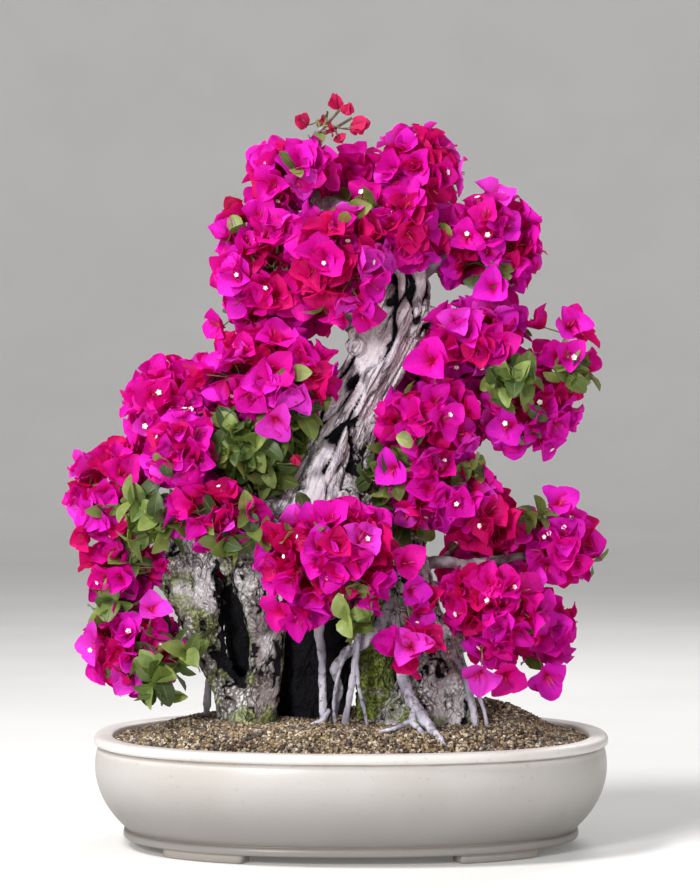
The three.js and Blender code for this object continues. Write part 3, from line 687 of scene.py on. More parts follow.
stemLean = math.radians(24)  # how far the stem tilts to the right of upright
barkColours = {
    "crust": ((0.19, 0.165, 0.155), (0.62, 0.59, 0.62)), "speck": (0.92, 0.91, 0.90),
    "silver": ((0.56, 0.48, 0.62), (1.0, 0.95, 1.0)), "stainedAndShaded": (0.26, 0.20, 0.19),
    # fine, shade and deep are painted shade colours for the fissures and beside them
    "moss": ((0.05, 0.085, 0.014), (0.27, 0.33, 0.05)), "fine": (0.035, 0.028, 0.032),
    "shade": (0.06, 0.048, 0.046), "deep": (0.006, 0.005, 0.008),
}


def barkMaterial():
    material, shader = newMaterial("weatheredBark", 0.85, 0.25)
    crackShade, moss, pale, clearOfStainAndShade = wearAndShadeOf(material)
    broad = grain(material, 22, 3)
    streak = grain(material, 110, 4, (1, 1, 0.1), lean=stemLean)
    hair = grain(material, 330, 3, (1, 1, 0.06), lean=stemLean)
    speck = grain(material, 260, 2)
    splits = seams(material, 105, (1, 1, 0.1), stemLean)
    flakes = seams(material, 120, (1, 1, 0.5), 0)
    crust = colourMix(material, shareOf(material, broad, 0.38, 0.62), *barkColours["crust"])
    crust = colourMix(material, shareOf(material, speck, 0.5, 0.62, 0, 0.85), crust, barkColours["speck"])
    silver = colourMix(material, shareOf(material, streak, 0.25, 0.52), *barkColours["silver"])
    higher = shareOf(material, pale, 0.3, 0.75)
    colour = colourMix(material, higher, crust, silver)
    # brown: the inner left leg's own stain with painted shade over it, and painted shade on the stem under
    # the crown
    stainedAndShaded = colourMix(material, 1.0, colour, barkColours["stainedAndShaded"], "MULTIPLY")
    colour = colourMix(material, clearOfStainAndShade, stainedAndShaded, colour)
    green = colourMix(material, shareOf(material, speck, 0.35, 0.65), *barkColours["moss"])
    colour = colourMix(material, moss, colour, green)
    # fine seams in places, then the deep ones with ragged edges, all darkened as painted shade in the
    # fissures, and a painted shade beside them
    patchy = shareOf(material, grain(material, 48, 2, (1, 1, 0.4), 3.0), 0.46, 0.58, 0, 0.65)
    fine = maths(material, "MULTIPLY", colourMix(material, higher, flakes, splits), patchy)
    colour = colourMix(material, fine, colour, barkColours["fine"])
    ragged = maths(material, "MULTIPLY_ADD", speck, 0.22, crackShade)
    beside = shareOf(material, ragged, 0.54, 0.84, 0, 0.62)
    colour = colourMix(material, beside, colour, barkColours["shade"])
    deep = shareOf(material, ragged, 0.80, 0.86)
    colour = colourMix(material, deep, colour, barkColours["deep"])
    link(material, colour, shader.inputs["Base Color"])
    height = maths(material, "ADD", maths(material, "ADD", streak, speck), hair)
    height = maths(material, "MULTIPLY_ADD", fine, -1.2, height)
    height = maths(material, "MULTIPLY_ADD", deep, -1.5, height)
    bump(material, shader, height, 0.0028, 1.0)
    return material


def meshedTrunk():
    # limbs and knots melted into one skin: its points, which way they face and its quads
    steps, sides = barkRelief["steps"], barkRelief["sides"]
    shapes = [tube(smoothPath(spec["path"], steps), ridgedReach(spec, steps, sides), sides)
              for spec in trunkLimbs.values()]
    turn = np.linspace(0, np.pi, barkRelief["knotSteps"])[1:-1]
    spine = np.stack([0 * turn, 0 * turn, -np.cos(turn)], axis=-1)
    ball, faces, caps = tube(spine, np.sin(turn), barkRelief["knotSides"])
    shapes += [(ball * np.array(radii) + np.array(middle), faces, caps) for middle, radii in trunkKnots]
    rough = buildPiece("roughTrunk", *joinShapes(shapes), [])
    remesh = rough.modifiers.new("join", "REMESH")
    remesh.mode = "VOXEL"
    remesh.voxel_size = barkRelief["voxel"] / 1000
    soften = rough.modifiers.new("soften", "SMOOTH")
    soften.iterations = barkRelief["soften"]
    soften.factor = 0.5
    joined = bpy.data.meshes.new_from_object(rough.evaluated_get(bpy.context.evaluated_depsgraph_get()))
    bpy.data.objects.remove(rough)
    place = np.empty(len(joined.vertices) * 3, np.float32)
    joined.vertices.foreach_get("co", place)
    outward = np.empty_like(place)
    joined.vertex_normals.foreach_get("vector", outward)
    corners = np.empty(len(joined.loops), np.int32)
    joined.loops.foreach_get("vertex_index", corners)
    bpy.data.meshes.remove(joined)
    return (place.reshape(-1, 3) - potMiddle) * 1000, outward.reshape(-1, 3), corners.reshape(-1, 4)


def barkReading(place):
    # the bark's height, its seam shade and the shares of strips, moss and lichen, blended between limbs
    total, whole = np.zeros((5, len(place))), np.zeros(len(place))
    for number, spec in enumerate(trunkLimbs.values()):
        outside, aside, above, lengthwise, radius = limbReading(place, spec)
        weight = np.exp(-np.clip(outside, -12, 60) / 4.5)
        height, seamShade = barkOf(spec["bark"], aside, above, lengthwise, barkRelief["seed"] + 40 * number)
        total[0] += weight * height * np.clip(radius / 34, 0.12, 1)
        total[1] += weight * seamShade * np.clip(radius / 18, 0.2, 1)
        for row, kind in enumerate(("strips", "moss", "lichen")):
            total[2 + row] += weight * (spec["bark"] == kind)
        whole += weight
    return total / whole


def makeTrunk():
    place, outward, faces = meshedTrunk()
    height, crackShade, stripShare, mossShare, lichenShare = barkReading(place)
    x, y, z = place.T
    patches = layered(place / 24, 77, 3)
    middle, half = (np.interp(z, trunkCleft["height"], trunkCleft[key]) for key in ("middle", "half"))
    cleft = np.exp(-((x - middle + 16 * (patches - 0.5)) / half) ** 2)
    cleft *= ramp(180, 190, z) * ramp(345, 328, z) * (0.6 + 0.9 * layered(place / 9, 88, 2))
    height -= trunkCleft["depth"] * cleft * ramp(24, 0, y)
    # painted shade: the cleft is darkened like a deep fissure
    crackShade = np.maximum(crackShade, ramp(0.3, 0.7, cleft))
    moved = place + outward * np.clip(height, barkRelief["least"], barkRelief["most"])[:, None]
    # deep shade in the hollow between the legs, moss at the feet, pale bleached wood higher up
    faceBack = outward[:, 1]
    behind = ramp(-8, 12, y) * ramp(0.3, -0.15, faceBack)
    withinFront = ramp(0.1, 0.4, faceBack) * ramp(40, 24, y)
    hollow = np.maximum(behind, withinFront) * ramp(370, 300, z) * ramp(-152, -128, x) * ramp(70, 40, x)
    moss = mossShare * ramp(0.25, 0.5, patches + 0.12)
    moss = np.maximum(moss, ramp(0.5, 0.62, patches) * ramp(380, 300, z) * (1 - stripShare) * 0.75)
    moss = np.maximum(moss, ramp(190, 150, z) * ramp(0.42, 0.6, patches) * 0.8)
    crusted = lichenShare * ramp(0.4, 0.6, layered(place / 17, 91, 3))
    pale = np.clip(stripShare * ramp(300, 420, z) + crusted * 0.5, 0, 1)
    bleached = np.exp(-(((x + 112) / 26) ** 2 + ((z - 312) / 36) ** 2)) * ramp(20, -6, y)
    # painted shade: the pale strips are dulled close under the crown
    pale *= 1 - 0.5 * ramp(560, 640, z) * ramp(0.35, 0.6, patches)
    pale = np.maximum(pale, np.clip(bleached * 1.5 * ramp(0.38, 0.5, patches), 0, 1))
    # wood darkened brown: on the inner left leg partly its own brown and partly painted shade, and on the
    # stem close under the crown painted shade
    brownAndShade = 0.85 * ramp(-126, -108, x) * ramp(-66, -82, x) * ramp(310, 262, z)
    brownAndShade *= ramp(0.25, 0.5, patches + 0.1)
    brownAndShade = np.maximum(brownAndShade, 0.55 * ramp(545, 610, z) * ramp(0.3, 0.55, patches))
    seamShade, green = np.maximum(crackShade, hollow), moss * (1 - bleached)
    wearAndShade = np.clip(np.stack([seamShade, green, pale, 1 - brownAndShade], axis=-1), 0, 1)
    piece = buildPiece("oldTrunk", moved, [faces], [barkMaterial()], wearAndShade=wearAndShade, slot="bark")
    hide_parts("trunk")


makeTrunk()
print("trunk grown")


bareRoots = {
    "root_front_left": [[(-30, -22, 345), (-22, -40, 305), (-37, -46, 262), (-34, -48, 218), (-33, -47, 172),
                         (-33, -46, 136)], [7, 7, 6.5, 5.5, 5.5, 5.5]],
    "root_front_middle": [[(4, -18, 345), (8, -40, 300), (9, -46, 250), (3, -50, 205), (-6, -54, 150),
                           (-7, -54, 136)], [6, 5.5, 5, 5, 5, 4.5]],
    "root_hook": [[(54, -4, 290), (34, -28, 258), (12, -35, 237), (-8, -37, 224), (-19, -38, 206),
                   (-13, -38, 186), (-19, -37, 160), (-22, -36, 136)], [9, 8, 7.5, 7, 5.5, 4.5, 4, 4]],
    "root_thin": [[(6, -50, 222), (9, -52, 190), (16, -52, 158), (20, -52, 136)], [3, 2.8, 2.5, 2.4]],
    "root_right_front": [[(70, -18, 244), (60, -62, 206), (70, -84, 176), (80, -104, 162), (90, -126, 150),
                          (106, -156, 132)], [9, 8, 7.5, 7.5, 6.5, 4]],
    "root_right_fork": [[(74, -92, 170), (70, -112, 155), (78, -132, 148), (88, -154, 134)],
                        [5, 4, 3.5, 2.5]],
    "root_right_side": [[(112, -16, 232), (132, -40, 200), (140, -56, 168), (146, -68, 136)], [6, 5, 4.5, 4]],
    "root_left_back": [[(-160, 8, 215), (-168, 24, 190), (-170, 30, 165), (-172, 32, 136)], [6, 5.5, 5, 5]],
}
# finer rootlets beside them: path and radii
rootlets = [
    [[(-27, -42, 160), (-32, -54, 150), (-46, -62, 146)], [4.5, 4, 2.5]],
    [[(-2, -48, 236), (-14, -50, 205), (-20, -48, 170), (-17, -46, 138)], [2.8, 2.4, 2.2, 2]],
    [[(70, -110, 156), (50, -128, 149), (32, -136, 146)], [3.4, 2.8, 1.8]],
    [[(138, -44, 196), (152, -56, 168), (158, -66, 140)], [3, 2.6, 2.2]],
    [[(-168, 20, 196), (-158, 12, 176), (-156, 8, 160)], [2, 1.6, 1.2]],
]


rootLook = {
    "colours": ((0.27, 0.26, 0.33), (0.68, 0.66, 0.76)), "spots": (0.13, 0.11, 0.10),
    "girth": 0.86, "sides": 14, "stepsEach": 12,
}


def rootMaterial():
    material, shader = newMaterial("paleRoot", 0.7, 0.3)
    streak = grain(material, 70, 3, (1, 1, 0.25))
    spots = grain(material, 150, 2)
    colour = colourMix(material, shareOf(material, streak, 0.3, 0.7), *rootLook["colours"])
    colour = colourMix(material, shareOf(material, spots, 0.54, 0.66, 0, 0.7), colour, rootLook["spots"])
    link(material, colour, shader.inputs["Base Color"])
    bump(material, shader, maths(material, "ADD", spots, streak), 0.0022, 1.0)
    return material


def makeRoots():
    shapes, sides = [], rootLook["sides"]
    for number, (path, radii) in enumerate([*bareRoots.values(), *rootlets]):
        count = rootLook["stepsEach"] * len(path)
        centre = smoothPath(path, count)
        swell = 1 + 0.5 * (layered(centre / 16, 340 + number, 2) - 0.5)
        reach = rootLook["girth"] * (spreadAlong(radii, count) * swell)[:, None] * np.ones(sides)
        shape, faces, caps = tube(centre, reach, sides)
        ring = shape[:-2].reshape(count, sides, 3)
        lumps = layered(ring / 8, 300 + number, 3)[..., None] - 0.5
        ring += unit(ring - centre[:, None]) * lumps * np.minimum(reach, 7)[..., None] * 0.9
        shape[:-2] = ring.reshape(-1, 3)
        shapes.append((shape, faces, caps))
    piece = buildPiece("bareRoots", *joinShapes(shapes), [rootMaterial()], slot="roots")
    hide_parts(*bareRoots)


makeRoots()
print("roots laid")


def mass(centre, half, start, **more):
    return {"centre": centre, "half": half, "from": start, **more}


# Each fills an ellipsoid, of a centre and half sizes, at the end of a curve that leaves the wood.
# A girth is the radius of a bough of its own; lift bends the curve up; leafy is the share of leaves;
# shady is the share of flowers that take the darker colours of inner ones, painted shade; an airy one has few
# flowers.
masses = {
    "apex": mass((-21, 0, 850), (44, 31, 32), (-55, 2, 806), airy=True),
    "top_left": mass((-67, -30, 782), (59, 49, 48), (-54, 2, 760)),
    "top_middle": mass((-2, 40, 764), (60, 50, 46), (10, 8, 728)),
    "top_right": mass((76, -5, 790), (55, 52, 52), (56, 0, 685), girth=8),
    "upper_left": mass((-100, -28, 676), (65, 60, 86), (30, 0, 598), girth=9),
    "upper_middle": mass((-18, -82, 680), (66, 50, 70), (42, 0, 620)),
    "inner_crown": mass((60, -44, 722), (54, 42, 54), (60, 0, 665), shady=0.75),
    "right_crown": mass((160, 0, 702), (62, 60, 72), (60, 0, 652), girth=9),
    "middle_left": mass((-96, -60, 550), (86, 54, 62), (-6, 4, 505), girth=8),
    "left_shoulder": mass((-210, 0, 512), (57, 60, 58), (-186, 4, 345), girth=11, lift=0),
    "far_left": mass((-282, 10, 412), (52, 60, 72), (-186, 4, 338), girth=8, leafy=0.1),
    "left_front": mass((-194, -72, 466), (46, 43, 44), (-172, 4, 372), lift=0),
    "left_inner": mass((-106, -38, 466), (50, 42, 52), (-100, 6, 412), leafy=0.95, lift=0),
    "left_hang": mass((-153, -84, 392), (64, 40, 40), (-140, 4, 396), leafy=0.12),
    "left_under": mass((-266, 0, 322), (50, 46, 40), (-184, 2, 312), leafy=0.1),
    "low_left": mass((-256, -10, 228), (68, 54, 55), (-174, 0, 256), leafy=0.15),
    "middle_front": mass((-24, -110, 342), (86, 56, 78), (-34, -4, 356), lift=0),
    "right_upper": mass((146, -30, 592), (70, 52, 46), (54, 0, 622), girth=10, lift=24),
    "right_tip": mass((246, 0, 562), (44, 44, 75), (30, 6, 585), girth=7, lift=-14, airy=True, leafy=0.12),
    "right_middle": mass((94, -62, 496), (66, 48, 50), (4, 4, 492)),
    "right_outer": mass((200, -8, 510), (68, 56, 52), (0, 8, 478), girth=9),
    "right_lower": mass((100, -50, 417), (66, 50, 50), (0, 4, 440), leafy=0.06),
    "low_right_inner": mass((160, -30, 384), (50, 46, 30), (52, 8, 370), shady=0.5),
    "low_right_outer": mass((244, 0, 346), (48, 54, 54), (60, 5, 330), girth=8, lift=-14),
    "low_right": mass((168, -58, 280), (64, 55, 64), (122, -8, 252)),
    "low_right_tip": mass((214, -6, 256), (56, 53, 48), (104, 2, 212), girth=6, lift=12),
    "low_flower": mass((70, -112, 241), (36, 26, 32), (74, -8, 262), airy=True),
    "back_upper": mass((-66, 84, 650), (88, 57, 77), (24, 6, 590)),
    "back_crown": mass((110, 96, 690), (90, 53, 73), (60, 4, 660)),
    "back_right": mass((122, 92, 538), (88, 57, 81), (8, 8, 545)),
    "back_left": mass((-158, 86, 490), (88, 57, 77), (-20, 8, 460)),
    "back_middle": mass((-10, 102, 470), (84, 53, 86), (-30, 8, 430)),
    "back_low_left": mass((-160, 88, 338), (77, 55, 68), (-150, 8, 388)),
    "back_low_right": mass((150, 94, 350), (84, 57, 79), (64, 4, 300), girth=6),
}
growth = {
    "lift": 12, "boughEnd": 0.92, "boughTaper": 0.6, "stemGirth": 5,
    "steps": 41, "kept": 38,  # points of a bough's curve, and how many of them it is drawn with
    "patch": 800,  # surface of a mass that one flower covers
    "airyPatch": 2700,
    "bractLength": (28, 36), "inner": 0.38, "buried": 0.66, "leafPatch": 300,
    "uneven": 0.22,  # how far a mass's surface falls short of its reach in places
    "jutting": 0.25,  # the share of flowers that stand a little proud of it
    "outerDepth": (0, 7), "innerDepth": (10, 26),  # how far flowers sit below it
    "strayLeaves": 0.05, "hubs": 13, "airyHubs": 7, "seed": 5,
}
# leaf sprays that show between the masses: middle, reach, number of leaves
leafSprays = [
    ((-226, -62, 376), 32, 22), ((-224, -56, 204), 28, 16), ((-4, -140, 276), 18, 6),
    ((40, -44, 432), 30, 20), ((186, -66, 542), 26, 18), ((252, -20, 556), 26, 7),
    ((-280, -14, 284), 22, 10), ((163, -44, 662), 10, 4), ((-70, -72, 492), 30, 18),
    ((-140, -70, 478), 22, 7), ((206, -40, 344), 18, 8), ((-146, -92, 366), 16, 5),
    ((150, -64, 338), 20, 9), ((-240, -60, 398), 18, 8), ((6, -66, 736), 16, 5), ((60, -20, 372), 22, 9),
    ((-112, -66, 470), 44, 26), ((-60, -52, 520), 26, 10), ((214, -30, 384), 16, 4),
    ((-196, -60, 224), 16, 6), ((-112, -100, 366), 16, 5),
]
# flowers that stand out singly: place, the way they face, length of the bracts and how far they are open
singleFlowers = [
    ((-308, -14, 364), (-0.5, -0.8, -0.3), 27, 1.0), ((254, -14, 604), (0.2, -0.95, 0.3), 34, 0.9),
    ((95, -84, 566), (-0.35, -0.95, 0.1), 39, 0.9), ((14, -66, 622), (0.2, -0.9, -0.3), 30, 0.95),
    ((149, -98, 212), (-0.1, -0.8, -0.5), 34, 1.0), ((176, -88, 210), (0.2, -0.8, -0.5), 33, 1.0),
    ((-58, -112, 276), (-0.2, -0.8, -0.6), 33, 0.9), ((50, -70, 442), (-0.4, -0.9, 0.0), 31, 1.0),
    ((68, -122, 240), (-0.1, -0.95, 0.3), 34, 1.05), ((-100, -24, 800), (-0.6, -0.6, 0.4), 26, 0.9),
    ((-218, -44, 327), (0.0, -0.9, 0.2), 22, 0.35), ((18, -42, 752), (-0.1, -0.9, 0.3), 32, 1.0),
    ((64, -108, 304), (0.5, -0.8, 0.1), 31, 1.0), ((120, -60, 610), (0.1, -0.9, 0.2), 28, 1.0),
    ((226, -40, 202), (0.2, -0.8, -0.4), 34, 1.0), ((-232, -50, 276), (0.2, -0.7, 0.5), 30, 1.0),
    ((58, -112, 336), (0.4, -0.9, 0.2), 33, 1.0), ((73, -98, 280), (0.5, -0.8, -0.2), 28, 0.9),
    ((94, -92, 290), (-0.5, -0.8, 0.3), 31, 1.0), ((-78, -108, 282), (-0.5, -0.8, -0.3), 30, 1.0),
    ((-148, -38, 606), (-0.7, -0.6, 0.1), 30, 1.0), ((-86, -102, 502), (0, -0.9, -0.4), 33, 1.0),
    ((166, -56, 652), (-0.3, -0.9, 0.0), 31, 0.9), ((250, -34, 570), (0.2, -0.9, 0.2), 30, 0.9),
    ((240, -40, 398), (0.1, -0.8, 0.5), 31, 1.0),
]
# closed buds: place, the way they point and length
closedBuds = [
    ((-17, -4, 859), (-0.1, -0.1, 1), 20), ((-7, -8, 853), (0.4, -0.3, 0.85), 16),
    ((-51, -6, 840), (-0.6, -0.4, 0.5), 19), ((2, -10, 839), (0.95, -0.3, 0.3), 21),
    ((-2, -2, 836), (0.9, 0.1, 0.1), 15), ((-24, -12, 834), (0.1, -0.8, 0.1), 16),
    ((-16, -10, 830), (0.3, -0.6, -0.5), 15), ((-132, -30, 742), (-0.5, -0.6, 0.5), 22),
    ((-133, -26, 722), (-0.8, -0.4, -0.1), 18), ((-123, -34, 728), (-0.2, -0.8, 0.2), 16),
    ((-64, -96, 448), (0.1, -0.6, 0.7), 15), ((-30, 6, 842), (-0.2, 0.7, 0.7), 16),
]
# places kept bare of flowers: x, z and radius, on the front side where wood shows, and right through
bareSpots = [
    (-52, 757, 17), (-30, 742, 10), (96, 630, 23), (120, 630, 23), (144, 630, 18), (-124, 408, 10),
    (200, 340, 20), (-62, 432, 24), (-74, 404, 20), (150, 330, 20), (182, 322, 16), (122, 346, 14),
]
skySpots = [
    (84, 652, 12), (104, 640, 22), (130, 640, 22), (152, 642, 14), (101, 344, 13), (172, 436, 22),
    (208, 440, 17), (180, 414, 24), (264, 210, 20), (-26, 618, 0),
]
# base colours of the bracts, with the share of the outer and of the inner flowers that have each; they are
# lit and shaded copies, the outer flowers drawing the brighter bluer ones as painted light and the inner ones
# mostly the dark red as painted shade
flowerMix = {
    "shades": [
        ((0.74, 0.005, 0.46), 0.30, 0.14), ((0.71, 0.003, 0.34), 0.24, 0.16),
        ((0.74, 0.012, 0.58), 0.26, 0.06), ((0.60, 0.002, 0.15), 0.08, 0.64),
        ((0.80, 0.045, 0.68), 0.12, 0.0),
    ],
    # throat: crimson towards each bract's base, partly its own colour and partly painted shade in the cup
    "throat": (0.60, 0.0, 0.05), "budShade": (0.55, 0.02, 0.11), "glow": (0.90, 0.003, 0.18),
}
leafMix = [((0.090, 0.130, 0.030), 0.4), ((0.155, 0.205, 0.055), 0.3), ((0.050, 0.078, 0.026), 0.3)]


def massCurve(spec):
    count = growth["steps"]
    start, centre = np.array(spec["from"], float), np.array(spec["centre"], float)
    bend = (start + centre) / 2 + np.array([0, 0, spec.get("lift", growth["lift"])])
    curve = bezier(start, bend, centre, count)
    outside = np.linalg.norm((curve - centre) / np.array(spec["half"]), axis=1) > growth["boughEnd"]
    entry = int(np.argmin(outside)) if not outside.all() else count - 1
    return curve, entry


def surfaceArea(half):
    a, b, c = half
    mean = ((a * b) ** 1.6 + (a * c) ** 1.6 + (b * c) ** 1.6) / 3
    return 4 * math.pi * mean ** (1 / 1.6)


def goldenDirections(count, chance):
    k = np.arange(count)
    up = 1 - (2 * k + 1) / count
    around = chance.uniform(0, 2 * np.pi) + k * np.pi * (3 - math.sqrt(5))
    flat = np.sqrt(1 - up * up)
    loose = chance.uniform(-0.5, 0.5, (count, 3)) * 0.55
    return unit(np.stack([flat * np.cos(around), flat * np.sin(around), up], axis=-1) + loose)


woodPoints = np.vstack([smoothPath(spec["path"], 80) for spec in trunkLimbs.values()])
woodRadii = np.concatenate([spreadAlong(spec["radii"], 80) for spec in trunkLimbs.values()])


def clearOfWood(points, clearance):
    gap = np.linalg.norm(points[:, None] - woodPoints[None], axis=-1) - woodRadii[None]
    return gap.min(1) > clearance


def freeOfOthers(points, name, depth):
    # true where no other mass holds the point deeper than this share of its size
    free = np.ones(len(points), bool)
    for other, spec in masses.items():
        if other != name:
            share = np.linalg.norm((points - np.array(spec["centre"])) / np.array(spec["half"]), axis=1)
            free &= share > depth
    return free


def notBare(points):
    free = np.ones(len(points), bool)
    for x, z, radius in bareSpots:
        free &= (np.hypot(points[:, 0] - x, points[:, 2] - z) > radius) | (points[:, 1] > 0)
    for x, z, radius in skySpots:
        wider = radius + 20 * (points[:, 1] > 25)  # what grows behind keeps further off
        free &= np.hypot(points[:, 0] - x, points[:, 2] - z) > wider
    return free


def canHold(spot):
    return clearOfWood(spot[None], 3)[0] and notBare(spot[None])[0]


def growMasses():
    # where each flower and leaf spray sits, which way it faces and how long its bracts are
    flowers, leaves, hubs = [], [], []
    for number, (name, spec) in enumerate(masses.items()):
        chance = np.random.default_rng(growth["seed"] + 31 * number)
        centre, half = np.array(spec["centre"], float), np.array(spec["half"], float)
        area, airy = surfaceArea(spec["half"]), spec.get("airy", False)
        count = max(6, round(area / (growth["airyPatch"] if airy else growth["patch"])))
        direction = goldenDirections(count, chance)
        surface = direction * half
        far = np.linalg.norm(surface, axis=1)
        length = chance.uniform(*growth["bractLength"], count)
        isInner = chance.random(count) < growth["inner"]
        below = [chance.uniform(*growth[key], count) for key in ("innerDepth", "outerDepth")]
        deeper = np.where(isInner, *below)
        dip = growth["uneven"] * layered(direction * 2.6 + 7.3 * number, 40 + number, 2)
        jut = np.where(chance.random(count) < growth["jutting"], chance.uniform(2, 9, count), 0)
        share = np.clip(1.02 - dip - (length * 0.5 + deeper - jut) / far, 0.25, 0.97)
        root = centre + surface * share[:, None]
        facing = unit(direction / half)
        facing = unit(facing + chance.normal(0, 0.40, (count, 3)) + np.array([0, -0.12, 0.10]))
        keep = clearOfWood(root + facing * 8, 3) & freeOfOthers(root, name, growth["buried"])
        keep &= notBare(root)
        isLeaf = chance.random(count) < spec.get("leafy", 0)
        opened = chance.uniform(0.62, 1.12, count)
        # flowers set deep in a mass, and a shady mass's share, are marked for the darker colours of painted
        # shade
        shaded = (deeper > 9) | (chance.random(count) < spec.get("shady", 0))
        if name != "apex":
            for k in np.flatnonzero(keep):
                kind = leaves if isLeaf[k] else flowers
                kind.append((root[k], facing[k], length[k], number, opened[k], shaded[k]))
        if spec.get("leafy", 0) > 0.5:
            extra = goldenDirections(round(area / growth["leafPatch"]), chance)
            spots = centre + extra * half * chance.uniform(0.45, 0.85, (len(extra), 1))
            for spot, face in zip(spots, unit(extra + chance.normal(0, 0.3, extra.shape))):
                if canHold(spot):
                    leaves.append((spot, face, chance.uniform(26, 34), number))
        stray = round(count * growth["strayLeaves"])
        extra = unit(chance.normal(size=(stray, 3)))
        for face in extra:
            spot = centre + face * half * chance.uniform(0.6, 0.85)
            if canHold(spot):
                leaves.append((spot, unit(face + chance.normal(0, 0.3, 3)), 24.0, number))
        inner = goldenDirections(growth["airyHubs" if airy else "hubs"], chance)
        hubs.append(centre + inner * half * chance.uniform(0.35, 0.55, (len(inner), 1)))
    chance = np.random.default_rng(growth["seed"] + 999)
    centres = np.array([spec["centre"] for spec in masses.values()], float)
    nearestTo = lambda spot: int(np.linalg.norm(centres - np.array(spot), axis=1).argmin())
    for middle, reach, count in leafSprays:
        nearest = nearestTo(middle)
        for face in unit(chance.normal(size=(count, 3)) + np.array([0, -0.5, 0])):
            spot = middle + face * reach * chance.uniform(0.25, 0.8)
            if notBare(spot[None])[0]:
                leaves.append((spot, unit(face + chance.normal(0, 0.3, 3)), chance.uniform(23, 33), nearest))
    for spot, face, length, opened in singleFlowers:
        flowers.append((np.array(spot, float), unit(np.array(face)), length, nearestTo(spot), opened, False))
    for spot, face, length in closedBuds:
        flowers.append((np.array(spot, float), unit(np.array(face)), length, -1, 0.16, False))
    return flowers, leaves, hubs


flowers, leafSets, hubs = growMasses()
print("masses grown:", len(flowers), "flowers,", len(leafSets), "leaf pairs")


bladeOutline = {"base": 0.52, "tip": 0.80, "ruffles": 8.5}


def columnOf(sets, k):
    return np.array([entry[k] for entry in sets])


def across3(axis, turn):
    # a unit vector square to each axis, turned about it
    aside = np.where(np.abs(axis[..., 2:]) < 0.9, np.array([0, 0, 1.0]), np.array([1.0, 0, 0]))
    first = unit(np.cross(axis, aside))
    second = np.cross(axis, first)
    return first * np.cos(turn)[..., None] + second * np.sin(turn)[..., None]


def bladeSurface(root, axis, radial, length, opening, width, cup, wave, rows=9, columns=5):
    # Blades that start along the axis and open away from it; the arrays run over the blades.
    # Each has a point at its root, rows of points across it, and a point at its tip.
    v = (1 - np.cos(np.linspace(0, np.pi, rows))) / 2
    u = np.linspace(-1, 1, columns)
    lean = opening[:, :1] + (opening[:, 1:] - opening[:, :1]) * v[None] ** 0.8
    step = np.diff(v, prepend=0)[None]
    runOut, runUp = np.cumsum(np.sin(lean) * step, axis=1), np.cumsum(np.cos(lean) * step, axis=1)
    spine = length[:, None, None] * (radial[:, None] * runOut[..., None] + axis[:, None] * runUp[..., None])
    spine = root[:, None] + spine
    inward = -radial[:, None] * np.cos(lean)[..., None] + axis[:, None] * np.sin(lean)[..., None]
    side = np.cross(axis, radial)
    outline = v ** bladeOutline["base"] * (1 - v) ** bladeOutline["tip"]
    outline = (outline / outline.max())[None, :, None]
    away = u[None, None]
    beat = wave[:, 1:2, None] + bladeOutline["ruffles"] * v[None, :, None] + 1.4 * np.sign(away)
    ripple = wave[:, :1, None] * np.sin(beat) * away ** 2
    rise = (cup[:, None, None] * away ** 2 + ripple) * outline * length[:, None, None]
    narrow = 1 - 0.5 * np.abs(cup)[:, None, None] * away ** 2
    aside = (width * length)[:, None, None] * outline * away * narrow
    points = spine[:, :, None] + side[:, None, None] * aside[..., None] + inward[:, :, None] * rise[..., None]
    inner = points[:, 1:-1].reshape(len(root), -1, 3)
    points = np.concatenate([spine[:, :1], inner, spine[:, -1:]], axis=1)
    fan = np.arange(columns - 1)
    top = inner.shape[1] - columns + 1
    ends = np.stack([np.concatenate([0 * fan, 0 * fan + inner.shape[1] + 1]),
                     np.concatenate([fan + 2, fan + top]), np.concatenate([fan + 1, fan + top + 1])], axis=-1)
    start = (np.arange(len(root)) * points.shape[1])[:, None, None]
    quads = (gridFaces(rows - 2, columns)[None] + 1 + start).reshape(-1, 4)
    triangles = (ends[None] + start).reshape(-1, 3)
    across = np.concatenate([[0.5], np.tile((u + 1) / 2, rows - 2), [0.5]])
    lengthwise = np.concatenate([[0], np.repeat(v[1:-1], columns), [1]])
    maps = np.tile(np.stack([across, lengthwise], axis=-1), (len(root), 1))
    return points.reshape(-1, 3), quads, triangles, maps


def bractMaterial(name, colour, throat):
    material, shader = newMaterial(name, 0.6, 0.14)
    along, fold = bladePlace(material)
    # the bract darkens to crimson towards its base: partly its own colour, partly painted shade inside the
    # flower's cup
    body = colourMix(material, shareOf(material, along, 0.05, 0.5), throat, colour)
    # side veins that slant out from the midrib
    slant = maths(material, "MULTIPLY_ADD", fold, -0.9, along)
    veins = maths(material, "SINE", maths(material, "MULTIPLY", slant, 44.0))
    veins = shareOf(material, veins, 0.75, 1.0)
    lines = maths(material, "MAXIMUM", veins, shareOf(material, fold, 0.03, 0.0))
    dark = tuple(channel * 0.72 for channel in colour)
    body = colourMix(material, maths(material, "MULTIPLY", lines, 0.35), body, dark)
    mottle = shareOf(material, grain(material, 55, 3), 0.45, 0.75, 0, 0.28)
    body = colourMix(material, mottle, body, tuple(min(1, channel * 1.1 + 0.012) for channel in colour))
    link(material, body, shader.inputs["Base Color"])
    bump(material, shader, lines, 0.0006, 0.5)
    letLightThrough(material, shader, flowerMix["glow"])
    return material


bractLayers = ("Low", "Middle", "Upper", "High")


def dealtTo(kinds, *faceSets):
    # each blade's kind of colour, given to all of its faces
    return np.concatenate([np.repeat(kinds, len(faces) // len(kinds)) for faces in faceSets])


